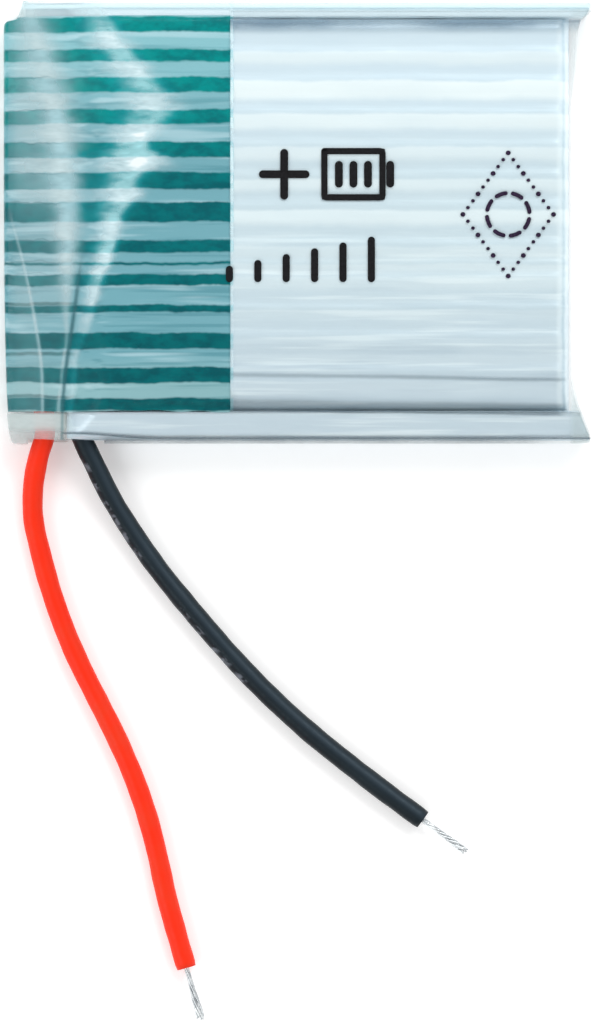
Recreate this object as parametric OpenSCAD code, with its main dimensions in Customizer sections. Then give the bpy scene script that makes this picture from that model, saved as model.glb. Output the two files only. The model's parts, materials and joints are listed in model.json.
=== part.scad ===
/* [Pack] */
// Overall length of the pack, from the taped end to the corner ears, without the leads
pack_length = 34.4; // [33:0.2:40]
// Overall width of the pack over its folded side seals
pack_width = 25.9; // [25.5:0.1:32]
// Overall thickness of the pack, wrap included
pack_height = 4.1; // [3.9:0.1:5]

/* [Pouch] */
// Thickness of the aluminium laminate
laminate = 0.11; // [0.09:0.01:0.13]
// Spacing of the lengthwise ribs pressed into the face
rib_pitch = 1.88; // [1.7:0.02:2.4]
// Height of the ribs above the valleys between them
rib_height = 0.08; // [0.06:0.01:0.1]
// Depth of the sealed terrace that carries the protection board
terrace = 3.8; // [3.8:0.1:4.2]

/* [Wrap] */
// Thickness of the outer clear wrap
wrap_t = 0.045; // [0.03:0.005:0.045]
// Thickness of the teal tape
tape_t = 0.04; // [0.03:0.005:0.04]
// Length of the teal band on the face, from the taped end
teal_length = 13.3; // [11:0.1:17]

/* [Electrodes] */
// Thickness of the coated cathode foil
cathode_t = 0.105; // [0.095:0.005:0.105]
// Thickness of the coated anode foil
anode_t = 0.105; // [0.09:0.005:0.105]
// Thickness of each separator film
separator_t = 0.025; // [0.02:0.005:0.025]
// Width of both current tabs
tab_w = 3; // [2:0.1:3]

/* [Leads] */
// Outer diameter of the insulation
lead_d = 1.2; // [1:0.05:1.2]
// Diameter of the tinned conductor
conductor_d = 0.4; // [0.3:0.02:0.5]
// Stripped length at the free end of each lead
tip_length = 3.2; // [2:0.1:5]

/* [Hidden] */

// Skins: every layer is an outset of one bare form, with a hair of air between layers.
skin_air = 0.01;
teal_in = skin_air;
teal_out = teal_in + tape_t;
wrap_out = 0.1;
wrap_in = wrap_out - wrap_t;

// The bare form, inside the tapes
x0 = -pack_length / 2 + wrap_out;
x1 = pack_length / 2 - 1.1;
ear = pack_length / 2 - x1;
hw = pack_width / 2 - wrap_out;
bottom = wrap_out;
top = pack_height - wrap_out;
seam = bottom + laminate;

// Cross-section of the bare form across its width, [Y, Z], clockwise from the lower -Y corner
SECTION = [
    [-hw + 0.55, bottom],
    [-hw + 0.1, bottom + 0.3],
    [-hw, bottom + 0.9],
    [-hw, top - 1.8],
    [-hw + 0.3, top - 1.15],
    [-hw + 1.75, top - 0.55],
    [-hw + 3.25, top - 0.05],
    [-hw + 3.45, top],
    [hw - 1.45, top],
    [hw - 0.85, top - 0.25],
    [hw - 0.35, top - 0.6],
    [hw, top - 1.1],
    [hw, bottom + 0.3],
    [hw - 0.45, bottom]
];
// Profile of the bare form along its length, [X, Z], clockwise from the lower -X corner
PROFILE = [
    [x0 + 0.4, bottom],
    [x0 + 0.05, bottom + 0.4],
    [x0, bottom + 1.1],
    [x0 + 0.1, bottom + 2],
    [x0 + 0.7, bottom + 2.45],
    [x0 + terrace + 0.1, bottom + 2.7],
    [x0 + terrace + 1.1, top - 0.7],
    [x0 + terrace + 1.9, top - 0.25],
    [x0 + terrace + 2.9, top],
    [x1 + 3, top],
    [x1 + 3, bottom]
];
// Plan of the bare form, [X, Y], clockwise from the -Y end of the taped edge
PLAN = [
    [x0, -hw + 1.85],
    [x0, hw - 0.55],
    [x0 + 0.5, hw],
    [x1 + 3, hw],
    [x1 + 3, -hw],
    [x0 + 1.2, -hw]
];
// Outline that trims the free end, where the side seals stick out as ears
END_TRIM = [
    [x0 - 1, -hw - 1],
    [x0 - 1, hw + 1],
    [x1 + ear, hw + 1],
    [x1 + ear, hw - 0.5],
    [x1 + 0.1, hw - 1.6],
    [x1, hw - 3],
    [x1, -hw + 3.8],
    [x1 + 0.35, -hw + 2.2],
    [x1 + ear, -hw + 0.35],
    [x1 + ear, -hw - 1]
];

// Drawn pocket of the cup
pocket_y0 = -hw + 1;
pocket_y1 = hw - 0.7;
pocket_x0 = x0 + terrace + 1.1;
pocket_x1 = x1 - 0.1;
valley = top - rib_height;
rib_start = -hw + 3.9;
rib_end = hw - 3;
rib_count = floor((rib_end - rib_start) / rib_pitch + 0.01) + 1;
crest_half = 0.45;
flank = 0.2;
open_depth = 1;

// Side seals, folded up along both sides
wing_fold_x = x0 + 6.3;
far_wing_x = x0 + 1.2;
ear_x = x1 + ear;
wing_root = 0.05;
terrace_x0 = x0 + 1.1;

// Wound electrode roll, a flat spiral about the X axis
layer_air = 0.005;
wind_pitch = cathode_t + anode_t + 2 * separator_t + 4 * layer_air;
ceiling = valley - laminate;
roll_r = (ceiling - seam) / 2 - 0.12;
roll_z = (ceiling + seam) / 2;
core_min = 0.135;
half_turns = 2 * floor((roll_r - core_min) / wind_pitch - 1.5 + 0.001);
core_r = roll_r - (half_turns / 2 + 1.5) * wind_pitch;
roll_y0 = -hw + 3.6;
roll_y1 = hw - 2.85;
roll_x0 = x0 + terrace + 2.4;
roll_x1 = x1 - 0.9;
arc_steps = 8;

// Current tabs
tab_t = 0.08;
positive_y = -4.5;
negative_y = 4.6;
tab_reach = 12;
seal_t = 0.15;
seal_w = tab_w + 1;
tab_z = seam + 0.005 + seal_t / 2;
slot_top = seam + 0.16;
seal_overhang = 0.4;

// Protection board on the terrace
board_x0 = x0 + 0.9;
board_x1 = board_x0 + 3.2;
board_y0 = -8.6;
board_y1 = 9.4;
board_t = 0.6;
insulator_z = slot_top + laminate + 0.02;
insulator_t = 0.1;
board_z = insulator_z + insulator_t + 0.01;
board_top = board_z + board_t;
board_mid = (board_x0 + board_x1) / 2;
pad_t = 0.12;
tab_landing = board_top + pad_t + skin_air + tab_t / 2;
chip_air = 0.1;

// Leads. The route points are set for the nominal pack and move with its corner.
lead_r = lead_d / 2;
conductor_r = conductor_d / 2;
lead_shift = [x0 + 17.1, -hw + 12.85, 0];
root_length = 1.5;
RED_ROUTE = [
    [-15.1, -9, 1.6],
    [-14.9, -10.8, 1.6],
    [-14.8, -12.4, 1.5],
    [-15.2, -13.8, 1.3],
    [-15.5, -15.5, 1],
    [-15.5, -17.4, 0.7],
    [-15.1, -19.3, 0.6],
    [-14.5, -21.5, 0.6],
    [-13.7, -23.8, 0.6],
    [-12.8, -25.9, 0.6],
    [-11.7, -28.1, 0.6],
    [-10.6, -30.3, 0.6],
    [-9.6, -32.6, 0.6],
    [-8.8, -34.9, 0.6],
    [-8.2, -37.2, 0.6],
    [-7.7, -39.5, 0.6],
    [-7.1, -41.7, 0.6],
    [-6.5, -43.8, 0.6]
];
BLACK_ROUTE = [
    [-13.5, -9, 1.6],
    [-13.3, -10.8, 1.6],
    [-12.7, -12.5, 1.5],
    [-11.9, -14.2, 1.25],
    [-10.9, -16.2, 0.9],
    [-9.6, -18.3, 0.65],
    [-8.2, -20.3, 0.6],
    [-6.6, -22.3, 0.6],
    [-4.9, -24.3, 0.6],
    [-3.1, -26.3, 0.6],
    [-1.2, -28.2, 0.6],
    [0.8, -30, 0.6],
    [2.9, -31.7, 0.6],
    [5.1, -33.4, 0.6],
    [7.4, -35.1, 0.6]
];

// Plane geometry: outsets go to the left of the direction of travel, which is outwards
// on a clockwise loop.
function unit(v) = v / norm(v);
function left_of(v) = [-v[1], v[0]];
function miter(a, b, d) = d * (left_of(a) + left_of(b)) / (1 + left_of(a) * left_of(b));
function outset_loop(p, d) =
    let (n = len(p))
    [for (i = [0 : n - 1])
        p[i] + miter(unit(p[i] - p[(i + n - 1) % n]), unit(p[(i + 1) % n] - p[i]), d)];
function outset_path(p, d) =
    let (last = len(p) - 1)
    [for (i = [0 : last])
        let (a = unit(p[max(i, 1)] - p[max(i, 1) - 1]))
        let (b = unit(p[min(i, last - 1) + 1] - p[min(i, last - 1)]))
        p[i] + miter(a, b, d)];
function reversed(p) = [for (i = [len(p) - 1 : -1 : 0]) p[i]];
function slice(p, a, b) = [for (i = [a : b]) p[i]];
function strip(path, d0, d1) = concat(outset_path(path, d1), reversed(outset_path(path, d0)));

// Cup pocket, [Y, Z] and [X, Z], standing on the height low
function rib(c) = [
    [c - crest_half - flank, valley],
    [c - crest_half, top],
    [c + crest_half, top],
    [c + crest_half + flank, valley]
];
function pocket_section(low) = concat(
    [
        [pocket_y0, low],
        [pocket_y0, seam + laminate],
        [pocket_y0 + 0.1, seam + 1.1],
        [pocket_y0 + 0.55, top - 1.4],
        [pocket_y0 + 1, top - 0.7],
        [pocket_y0 + 1.65, top - 0.38],
        [pocket_y0 + 2.2, top - 0.14]
    ],
    [for (i = [0 : rib_count - 1]) each rib(rib_start + i * rib_pitch)],
    [
        [hw - 1.75, valley],
        [hw - 1.25, valley - 0.02],
        [hw - 0.95, top - 0.5],
        [hw - 0.8, top - 1.2],
        [pocket_y1, seam + laminate],
        [pocket_y1, low]
    ]
);
function pocket_profile(low) = [
    [pocket_x0, low],
    [pocket_x0 + 0.15, top - 1.2],
    [pocket_x0 + 0.65, top - 0.42],
    [pocket_x0 + 1.9, top - 0.03],
    [pocket_x0 + 2.3, top + 0.1],
    [pocket_x1 - 0.8, top + 0.1],
    [pocket_x1 - 0.3, top - 0.3],
    [pocket_x1 - 0.05, top - 0.8],
    [pocket_x1, low]
];

// Mid-lines of the folded side seals, [Y, Z], clockwise
INNER_SKIN = outset_loop(SECTION, -laminate);
NEAR_WING = concat([[pocket_y0 + wing_root, seam]], slice(INNER_SKIN, 0, 5));
FAR_WING = concat(slice(INNER_SKIN, 10, 13), [[pocket_y1 - wing_root, seam]]);

// One wound layer, [Y, Z], between two distances from the winding line. Half turn 0 runs
// round the -Y end, and a layer starts with the straight that leads into its first half turn.
function wind_r(angle) = core_r + wind_pitch * (angle - 90) / 360;
function wind_centre(h) = (h + 100) % 2 == 0 ? roll_y0 : roll_y1;
function wind_point(y, angle, d) = [
    y + (wind_r(angle) + d) * cos(angle),
    roll_z + (wind_r(angle) + d) * sin(angle)
];
function wind_line(first, last, d) = concat(
    [wind_point(wind_centre(first + 1), 90 + 180 * first, d)],
    [for (h = [first : last]) each
        [for (s = [0 : arc_steps]) wind_point(wind_centre(h), 90 + 180 * (h + s / arc_steps), d)]],
    [wind_point(wind_centre(last + 1), 270 + 180 * last, d)]
);
function wound_layer(first, last, d0, d1) = concat(
    wind_line(first, last, d1),
    reversed(wind_line(first, last, d0))
);
inner_separator_d = cathode_t + layer_air;
anode_d = inner_separator_d + separator_t + layer_air;
outer_separator_d = anode_d + anode_t + layer_air;

// Path of a tab, [X, Z]: out of the roll, down to the terrace, through the seal and back
// over the board
function tab_path(z) = [
    [roll_x0 + tab_reach, z],
    [roll_x0 - 0.5, z],
    [roll_x0 - 0.8, z - 0.25],
    [pocket_x0 + 0.5, seam + 0.55],
    [pocket_x0 + 0.35, tab_z + 0.07],
    [pocket_x0 + 0.15, tab_z],
    [terrace_x0 - seal_overhang - 0.05, tab_z],
    [x0 + 0.38, tab_z + 0.15],
    [x0 + 0.3, tab_z + 0.5],
    [x0 + 0.3, tab_landing - 0.28],
    [x0 + 0.5, tab_landing],
    [board_x0 + 1.3, tab_landing]
];
positive_tab_z = roll_z + core_r - layer_air - tab_t / 2;
negative_tab_z = roll_z - core_r + layer_air + tab_t / 2;

// Sweep of a round tube along a route, as rings of points
tube_sides = 8;
function route_at(route) = [for (p = route) p + lead_shift];
function tangent(p, i) =
    i == 0 ? [0, -1, 0] :
    i == len(p) - 1 ? unit(p[i] - p[i - 1]) :
    unit(p[i + 1] - p[i - 1]);
function ring(p, i, r) =
    let (t = tangent(p, i))
    let (side = unit(cross(t, [0, 0, 1])))
    let (up = cross(side, t))
    [for (k = [0 : tube_sides - 1])
        p[i] + r * (cos(360 * k / tube_sides) * side + sin(360 * k / tube_sides) * up)];
function tube_faces(rings) = concat(
    [[for (k = [tube_sides - 1 : -1 : 0]) k]],
    [for (i = [0 : rings - 2]) for (k = [0 : tube_sides - 1])
        let (a = i * tube_sides + k)
        let (b = i * tube_sides + (k + 1) % tube_sides)
        each [[a, b, a + tube_sides], [b, b + tube_sides, a + tube_sides]]],
    [[for (k = [0 : tube_sides - 1]) (rings - 1) * tube_sides + k]]
);

module extrude_x(a, b) {
    translate([a, 0, 0]) rotate([90, 0, 90]) linear_extrude(b - a) children();
}

module extrude_y(a, b) {
    translate([0, b, 0]) rotate([90, 0, 0]) linear_extrude(b - a) children();
}

module block(x, y, z) {
    translate([x[0], y[0], z[0]]) cube([x[1] - x[0], y[1] - y[0], z[1] - z[0]]);
}

// The bare form, grown outwards by d and endless past the free end
module pack_form(d) {
    intersection() {
        extrude_x(x0 - 1, x1 + 2) polygon(outset_loop(SECTION, d));
        extrude_y(-hw - 1, hw + 1) polygon(outset_loop(PROFILE, d));
        linear_extrude(pack_height + 1) polygon(outset_loop(PLAN, d));
    }
}

module end_trim() {
    translate([0, 0, -1]) linear_extrude(pack_height + 2) polygon(END_TRIM);
}

module pocket(low, d) {
    intersection() {
        extrude_x(pocket_x0 - 1, pocket_x1 + 1) polygon(outset_loop(pocket_section(low), d));
        extrude_y(-hw, hw) polygon(outset_loop(pocket_profile(low), d));
    }
}

module wings(d0, d1) {
    intersection() {
        union() {
            extrude_x(wing_fold_x, ear_x) polygon(strip(NEAR_WING, d0, d1));
            extrude_x(far_wing_x, ear_x) polygon(strip(FAR_WING, d0, d1));
        }
        end_trim();
        pack_form(skin_air / 2);
    }
}

module tab_bridge(y) {
    block(
        [terrace_x0, pocket_x0 + 0.1],
        [y - seal_w / 2 - 0.2, y + seal_w / 2 + 0.2],
        [seam, slot_top + laminate]
    );
}

module tab_slot(y) {
    block(
        [terrace_x0 - 1, pocket_x0 + 0.3],
        [y - seal_w / 2 - 0.1, y + seal_w / 2 + 0.1],
        [seam - 1, slot_top]
    );
}

module pouch_cup() {
    color("lightsteelblue") difference() {
        union() {
            difference() {
                pocket(seam, 0);
                pocket(seam - open_depth, -laminate);
            }
            block([terrace_x0, pocket_x0 + 0.1], [pocket_y0, pocket_y1], [seam, seam + laminate]);
            tab_bridge(positive_y);
            tab_bridge(negative_y);
            wings(-laminate, 0);
        }
        tab_slot(positive_y);
        tab_slot(negative_y);
    }
}

module pouch_cover() {
    color("silver") {
        block([terrace_x0, pocket_x1], [pocket_y0, pocket_y1], [bottom, seam]);
        wings(0, laminate);
    }
}

module cathode_sheet() {
    color("dimgray")
        extrude_x(roll_x0 + 0.5, roll_x1 - 0.5)
            polygon(wound_layer(0, half_turns - 1, 0, cathode_t));
}

module inner_separator() {
    color("white")
        extrude_x(roll_x0, roll_x1)
            polygon(wound_layer(0, half_turns, inner_separator_d, inner_separator_d + separator_t));
}

module anode_sheet() {
    color("darkslategray")
        extrude_x(roll_x0 + 0.3, roll_x1 - 0.3)
            polygon(wound_layer(-1, half_turns, anode_d, anode_d + anode_t));
}

module outer_separator() {
    color("ghostwhite")
        extrude_x(roll_x0, roll_x1)
            polygon(wound_layer(0, half_turns, outer_separator_d, outer_separator_d + separator_t));
}

module roll_end_tape() {
    tape_z = roll_z - roll_r - skin_air;
    color("khaki")
        block([roll_x0 + 3, roll_x1 - 3], [roll_y1 - 6, roll_y1 + 0.4], [tape_z - tape_t, tape_z]);
}

module tab(y, z) {
    extrude_y(y - tab_w / 2, y + tab_w / 2) polygon(strip(tab_path(z), -tab_t / 2, tab_t / 2));
}

module positive_tab() {
    color("gainsboro") tab(positive_y, positive_tab_z);
}

module negative_tab() {
    color("darkkhaki") tab(negative_y, negative_tab_z);
}

// Tape over the weld between a tab and its foil, on the tab's free side
module weld_tape(y, z) {
    block([roll_x0 + 1, roll_x0 + tab_reach + 1], [y - seal_w / 2, y + seal_w / 2], [z, z + 0.03]);
}

module positive_weld_tape() {
    color("palegreen") weld_tape(positive_y, positive_tab_z - tab_t / 2 - skin_air - 0.03);
}

module negative_weld_tape() {
    color("palegreen") weld_tape(negative_y, negative_tab_z + tab_t / 2 + skin_air);
}

module tab_seal(y) {
    slot_half = tab_t / 2 + layer_air;
    difference() {
        block(
            [terrace_x0 - seal_overhang, pocket_x0 - 0.2],
            [y - seal_w / 2, y + seal_w / 2],
            [tab_z - seal_t / 2, tab_z + seal_t / 2]
        );
        block(
            [terrace_x0 - 2, pocket_x0 + 1],
            [y - tab_w / 2 - layer_air, y + tab_w / 2 + layer_air],
            [tab_z - slot_half, tab_z + slot_half]
        );
    }
}

module positive_tab_seal() {
    color("whitesmoke") tab_seal(positive_y);
}

module negative_tab_seal() {
    color("whitesmoke") tab_seal(negative_y);
}

module board_insulator() {
    color("tan")
        block(
            [board_x0 + 0.1, board_x1 + 0.1],
            [board_y0, board_y1],
            [insulator_z, insulator_z + insulator_t]
        );
}

module protection_board() {
    color("seagreen") block([board_x0, board_x1], [board_y0, board_y1], [board_z, board_top]);
}

module weld_pads() {
    color("silver") for (y = [positive_y, negative_y])
        block([board_x0 + 0.3, board_x0 + 2], [y - 1.3, y + 1.3], [board_top, board_top + pad_t]);
}

// Six-legged chip, its long side along Y
module chip(y) {
    body_h = 1;
    body_x = 0.8;
    leg_z = 0.5;
    leg_t = 0.12;
    leg_out = 1.4;
    block(
        [board_mid - body_x, board_mid + body_x],
        [y - 1.4, y + 1.4],
        [board_top + chip_air, board_top + chip_air + body_h]
    );
    for (side = [0, 1], row = [-0.95, 0, 0.95])
        translate([board_mid, y + row, board_top]) mirror([side, 0, 0])
            extrude_y(-0.18, 0.18)
                polygon([
                    [body_x, leg_z],
                    [body_x, leg_z + leg_t],
                    [body_x + 0.3, leg_z + leg_t],
                    [body_x + 0.3, leg_t],
                    [leg_out, leg_t],
                    [leg_out, 0],
                    [body_x + 0.18, 0],
                    [body_x + 0.18, leg_z]
                ]);
}

module switch_chip() {
    color([0.13, 0.13, 0.14]) chip(-0.7);
}

module control_chip() {
    color([0.13, 0.13, 0.14]) chip(7.8);
}

// Small two-ended part with metal end caps, its long side along X
module chip_part(x, y, h) {
    body_x = 0.5;
    body_y = 0.25;
    cap = 0.2;
    block([x - body_x + cap, x + body_x - cap], [y - body_y, y + body_y], [board_top, board_top + h]);
    for (side = [-1, 1])
        translate([x + side * (body_x - cap / 2), y, board_top + (h + 0.04) / 2])
            cube([cap, 2 * body_y + 0.04, h + 0.04], center = true);
}

module chip_resistors() {
    color([0.2, 0.2, 0.22]) {
        chip_part(board_mid - 0.8, 1.5, 0.35);
        chip_part(board_mid + 0.8, 1.5, 0.35);
    }
}

module chip_capacitor() {
    color("burlywood") chip_part(board_mid, 2.5, 0.5);
}

module lead_root(start, r) {
    translate(start) rotate([-90, 0, 0]) cylinder(h = root_length, r = r, $fn = 32);
}

module solder_joint(start) {
    joint_h = 0.75;
    difference() {
        translate([start[0], start[1] + root_length - 0.1, board_top])
            cylinder(h = joint_h, r1 = 0.45, r2 = 0.25, $fn = 32);
        lead_root(start, conductor_r);
    }
}

module positive_solder_joint() {
    color("lightgray") solder_joint(RED_ROUTE[0] + lead_shift);
}

module negative_solder_joint() {
    color("lightgray") solder_joint(BLACK_ROUTE[0] + lead_shift);
}

module board_tape() {
    path = [
        [board_x1 + 0.25, board_z],
        [board_x1 + 0.25, board_top + 0.8],
        [board_x1, board_top + 1.19],
        [x0 + 0.62, board_top + 1.19],
        [x0 + 0.17, board_top + 0.8],
        [x0 + 0.17, board_z]
    ];
    color("darkorange")
        extrude_y(board_y0 + 0.1, board_y1 - 0.05) polygon(strip(path, -0.025, 0.025));
}

module teal_tape() {
    color("teal") intersection() {
        difference() {
            pack_form(teal_out);
            pack_form(teal_in);
        }
        block([x0 - 1, x0 - 0.1 + teal_length], [-hw + 1.75, hw - 0.65], [-1, pack_height + 1]);
    }
}

module clear_wrap() {
    color([0.85, 0.93, 0.96, 0.5]) difference() {
        intersection() {
            pack_form(wrap_out);
            end_trim();
        }
        pack_form(wrap_in);
        block([x0 + 0.6, x0 + 5.8], [-hw - 1, -hw + 1.6], [bottom + 0.4, bottom + 2.25]);
    }
}

module lead(route) {
    points = route_at(route);
    polyhedron(
        points = [for (i = [0 : len(points) - 1]) each ring(points, i, lead_r)],
        faces = tube_faces(len(points))
    );
}

module lead_tip(route) {
    points = route_at(route);
    end = points[len(points) - 1];
    way = end - points[len(points) - 2];
    translate(end) rotate([0, 90, atan2(way[1], way[0])])
        cylinder(h = tip_length, r = conductor_r, $fn = 32);
}

module red_lead_root() {
    color("gainsboro") lead_root(RED_ROUTE[0] + lead_shift, conductor_r);
}

module red_lead() {
    color("orangered") lead(RED_ROUTE);
}

module red_lead_tip() {
    color("gainsboro") lead_tip(RED_ROUTE);
}

module black_lead_root() {
    color("gainsboro") lead_root(BLACK_ROUTE[0] + lead_shift, conductor_r);
}

module black_lead() {
    color([0.1, 0.11, 0.12]) lead(BLACK_ROUTE);
}

module black_lead_tip() {
    color("gainsboro") lead_tip(BLACK_ROUTE);
}

pouch_cup();
pouch_cover();
cathode_sheet();
anode_sheet();
inner_separator();
outer_separator();
roll_end_tape();
positive_tab();
negative_tab();
positive_weld_tape();
negative_weld_tape();
positive_tab_seal();
negative_tab_seal();
board_insulator();
protection_board();
weld_pads();
switch_chip();
control_chip();
chip_resistors();
chip_capacitor();
positive_solder_joint();
negative_solder_joint();
board_tape();
teal_tape();
clear_wrap();
red_lead_root();
red_lead();
red_lead_tip();
black_lead_root();
black_lead();
black_lead_tip();
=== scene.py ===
import bpy
import bmesh
import json
import math
import numpy as np
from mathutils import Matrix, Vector


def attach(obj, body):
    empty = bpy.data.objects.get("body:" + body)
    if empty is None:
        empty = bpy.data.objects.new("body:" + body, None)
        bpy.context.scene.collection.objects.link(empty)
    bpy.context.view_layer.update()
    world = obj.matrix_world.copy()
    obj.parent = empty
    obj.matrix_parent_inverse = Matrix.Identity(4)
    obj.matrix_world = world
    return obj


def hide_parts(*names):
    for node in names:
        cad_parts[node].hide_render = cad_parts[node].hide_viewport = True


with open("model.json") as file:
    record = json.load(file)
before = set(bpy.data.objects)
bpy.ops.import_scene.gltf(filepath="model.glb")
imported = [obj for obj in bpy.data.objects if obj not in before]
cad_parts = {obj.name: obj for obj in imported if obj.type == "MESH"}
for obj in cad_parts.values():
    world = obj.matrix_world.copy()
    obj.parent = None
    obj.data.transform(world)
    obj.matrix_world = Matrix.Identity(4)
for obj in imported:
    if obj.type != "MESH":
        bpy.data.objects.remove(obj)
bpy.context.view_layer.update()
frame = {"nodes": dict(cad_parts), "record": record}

MM = 0.001
ROOT = "root"
nodes = frame["nodes"]


# ---- camera
VIEW_HEIGHT = 0.0602
CAMERA_RISE = 0.6
FACE_Z = 0.0008
VIEW_Y = -0.017
SENSOR = 36.0

camera_data = bpy.data.cameras.new("camera")
camera_data.type = "PERSP"
camera_data.sensor_width = SENSOR
camera_data.lens = SENSOR * CAMERA_RISE / VIEW_HEIGHT
camera_data.clip_start = 0.01
camera_data.clip_end = 20.0
camera = bpy.data.objects.new("camera", camera_data)
camera.location = (0.0, VIEW_Y, FACE_Z + CAMERA_RISE)
bpy.context.scene.collection.objects.link(camera)
bpy.context.scene.camera = camera


# ---- small helpers
def smooth(a, b, x):
    """A smooth step from 0 at a to 1 at b."""
    t = np.clip((x - a) / (b - a), 0.0, 1.0)
    return t * t * (3.0 - 2.0 * t)


def bell(x, centre, width):
    return np.exp(-((x - centre) / width) ** 2)


def unit(vectors):
    return vectors / np.linalg.norm(vectors, axis=-1, keepdims=True)


def catmull(points, step):
    """A smooth curve through the points, sampled about every step."""
    p = np.array(points, float)
    ends = np.vstack([2 * p[0] - p[1], p, 2 * p[-1] - p[-2]])
    out = []
    for i in range(len(p) - 1):
        a, b, c, d = ends[i:i + 4]
        count = max(2, int(np.linalg.norm(c - b) / step))
        for t in np.linspace(0.0, 1.0, count, endpoint=False):
            out.append(0.5 * (2 * b + (c - a) * t + (2 * a - 5 * b + 4 * c - d) * t ** 2
                              + (3 * b - a - 3 * c + d) * t ** 3))
    out.append(p[-1])
    return np.array(out)


def add_mesh(name, vertices, faces, material, smooth_shade=True):
    mesh = bpy.data.meshes.new(name)
    mesh.from_pydata([tuple(v) for v in vertices], [], [tuple(f) for f in faces])
    mesh.validate()
    mesh.update()
    if smooth_shade:
        mesh.shade_smooth()
    piece = bpy.data.objects.new(name, mesh)
    bpy.context.scene.collection.objects.link(piece)
    mesh.materials.append(material)
    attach(piece, ROOT)
    return piece


def point_attribute(piece, name, values):
    attribute = piece.data.attributes.new(name, "FLOAT", "POINT")
    attribute.data.foreach_set("value", np.asarray(values, np.float32))


def frames_along(path):
    """Side and up at each point of a path, with as little twist as can be."""
    tangents = unit(np.gradient(path, axis=0))
    side = np.cross(tangents[0], [0.0, 0.0, 1.0])
    sides = []
    for t in tangents:
        side = unit(side - t * (side @ t))
        sides.append(side)
    sides = np.array(sides)
    return sides, np.cross(sides, tangents)


def tube_rings(path, radii, count):
    """Rings of a tube along the path; radii is (across, up) for each point."""
    sides, ups = frames_along(path)
    angles = np.linspace(0.0, 2 * math.pi, count, endpoint=False)
    rings = []
    for p, s, u, (ra, rb) in zip(path, sides, ups, radii):
        rings.append(p + ra * np.cos(angles)[:, None] * s + rb * np.sin(angles)[:, None] * u)
    return np.array(rings)


def tube_faces(ring_count, count, start=0):
    """Faces of a tube with closed ends."""
    faces = []
    for i in range(ring_count - 1):
        for k in range(count):
            a = start + i * count + k
            b = start + i * count + (k + 1) % count
            faces.append((a, a + count, b + count, b))
    faces.append(tuple(start + k for k in range(count)))
    faces.append(tuple(start + (ring_count - 1) * count + k for k in range(count))[::-1])
    return faces


def grid_faces(rows, columns, start=0, flip=False):
    faces = []
    for i in range(rows - 1):
        for j in range(columns - 1):
            a = start + i * columns + j
            quad = (a, a + 1, a + columns + 1, a + columns)
            faces.append(quad[::-1] if flip else quad)
    return faces


def slab_faces(rows, columns, start=0):
    """Faces of a closed slab: a grid of points, then the same grid again on its other side."""
    count = rows * columns
    faces = grid_faces(rows, columns, start, True) + grid_faces(rows, columns, start + count)

    def wall(a, b):
        faces.append((start + a, start + b, start + b + count, start + a + count))

    for i in range(rows - 1):
        a, b = i * columns, (i + 1) * columns
        wall(a, b)
        wall(b + columns - 1, a + columns - 1)
    last = (rows - 1) * columns
    for j in range(columns - 1):
        wall(j + 1, j)
        wall(last + j, last + j + 1)
    return faces


# ---- shader trees
class Value:
    """A number in a node tree, so that sums can be written as sums."""

    def __init__(self, tree, socket):
        self.tree = tree
        self.socket = socket

    def __add__(self, other):
        return self.tree.math("ADD", self, other)

    def __sub__(self, other):
        return self.tree.math("SUBTRACT", self, other)

    def __rsub__(self, other):
        return self.tree.math("SUBTRACT", other, self)

    def __mul__(self, other):
        return self.tree.math("MULTIPLY", self, other)

    def __truediv__(self, other):
        return self.tree.math("DIVIDE", self, other)

    def __abs__(self):
        return self.tree.math("ABSOLUTE", self)

    def bell(self):
        return self.tree.math("EXPONENT", self * self * -1.0)

    def step(self, low, high, to_low=0.0, to_high=1.0):
        """A smooth step from to_low to to_high while the value goes from low to high."""
        ends = {"From Min": low, "From Max": high, "To Min": to_low, "To Max": to_high}
        node = self.tree.new("ShaderNodeMapRange", {"Value": self, **ends})
        node.interpolation_type = "SMOOTHSTEP"
        return Value(self.tree, node.outputs[0])

    def ramp(self, low, high, to_low=0.0, to_high=1.0):
        """The same for a place, with low and high in mm."""
        return self.step(low * MM, high * MM, to_low, to_high)

    def curve(self, low, high, points, to_low=0.0, to_high=1.0):
        """A drawn curve: points are (input, output) pairs in real units."""
        node = self.tree.new("ShaderNodeFloatCurve", {"Value": (self - low) / (high - low)})
        line = node.mapping.curves[0]
        pairs = sorted(((a - low) / (high - low), (b - to_low) / (to_high - to_low))
                       for a, b in points)
        while len(line.points) < len(pairs):
            line.points.new(0.5, 0.5)
        for point, pair in zip(line.points, pairs):
            point.location = pair
            point.handle_type = "AUTO_CLAMPED"
        node.mapping.update()
        return Value(self.tree, node.outputs[0]) * (to_high - to_low) + to_low


class Nodes:
    """Short hand for filling a node tree."""

    def __init__(self, tree):
        self.nodes = tree.nodes
        self.links = tree.links
        self.nodes.clear()

    def put(self, socket, value):
        """Links a value to a socket, or writes a number, vector or colour on it."""
        if isinstance(value, Value):
            value = value.socket
        if isinstance(value, bpy.types.NodeSocket):
            self.links.new(value, socket)
        elif isinstance(value, tuple) and len(value) < len(socket.default_value):
            socket.default_value = (*value, 1.0)
        else:
            socket.default_value = value

    def new(self, kind, inputs=()):
        node = self.nodes.new(kind)
        for name, value in dict(inputs).items():
            self.put(node.inputs[name], value)
        return node

    def math(self, operation, a, b=0.0, clamp=False):
        node = self.new("ShaderNodeMath", {0: a, 1: b})
        node.operation = operation
        node.use_clamp = clamp
        return Value(self, node.outputs[0])

    def split(self, vector):
        return [Value(self, part) for part in self.new("ShaderNodeSeparateXYZ", {0: vector}).outputs]


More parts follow.
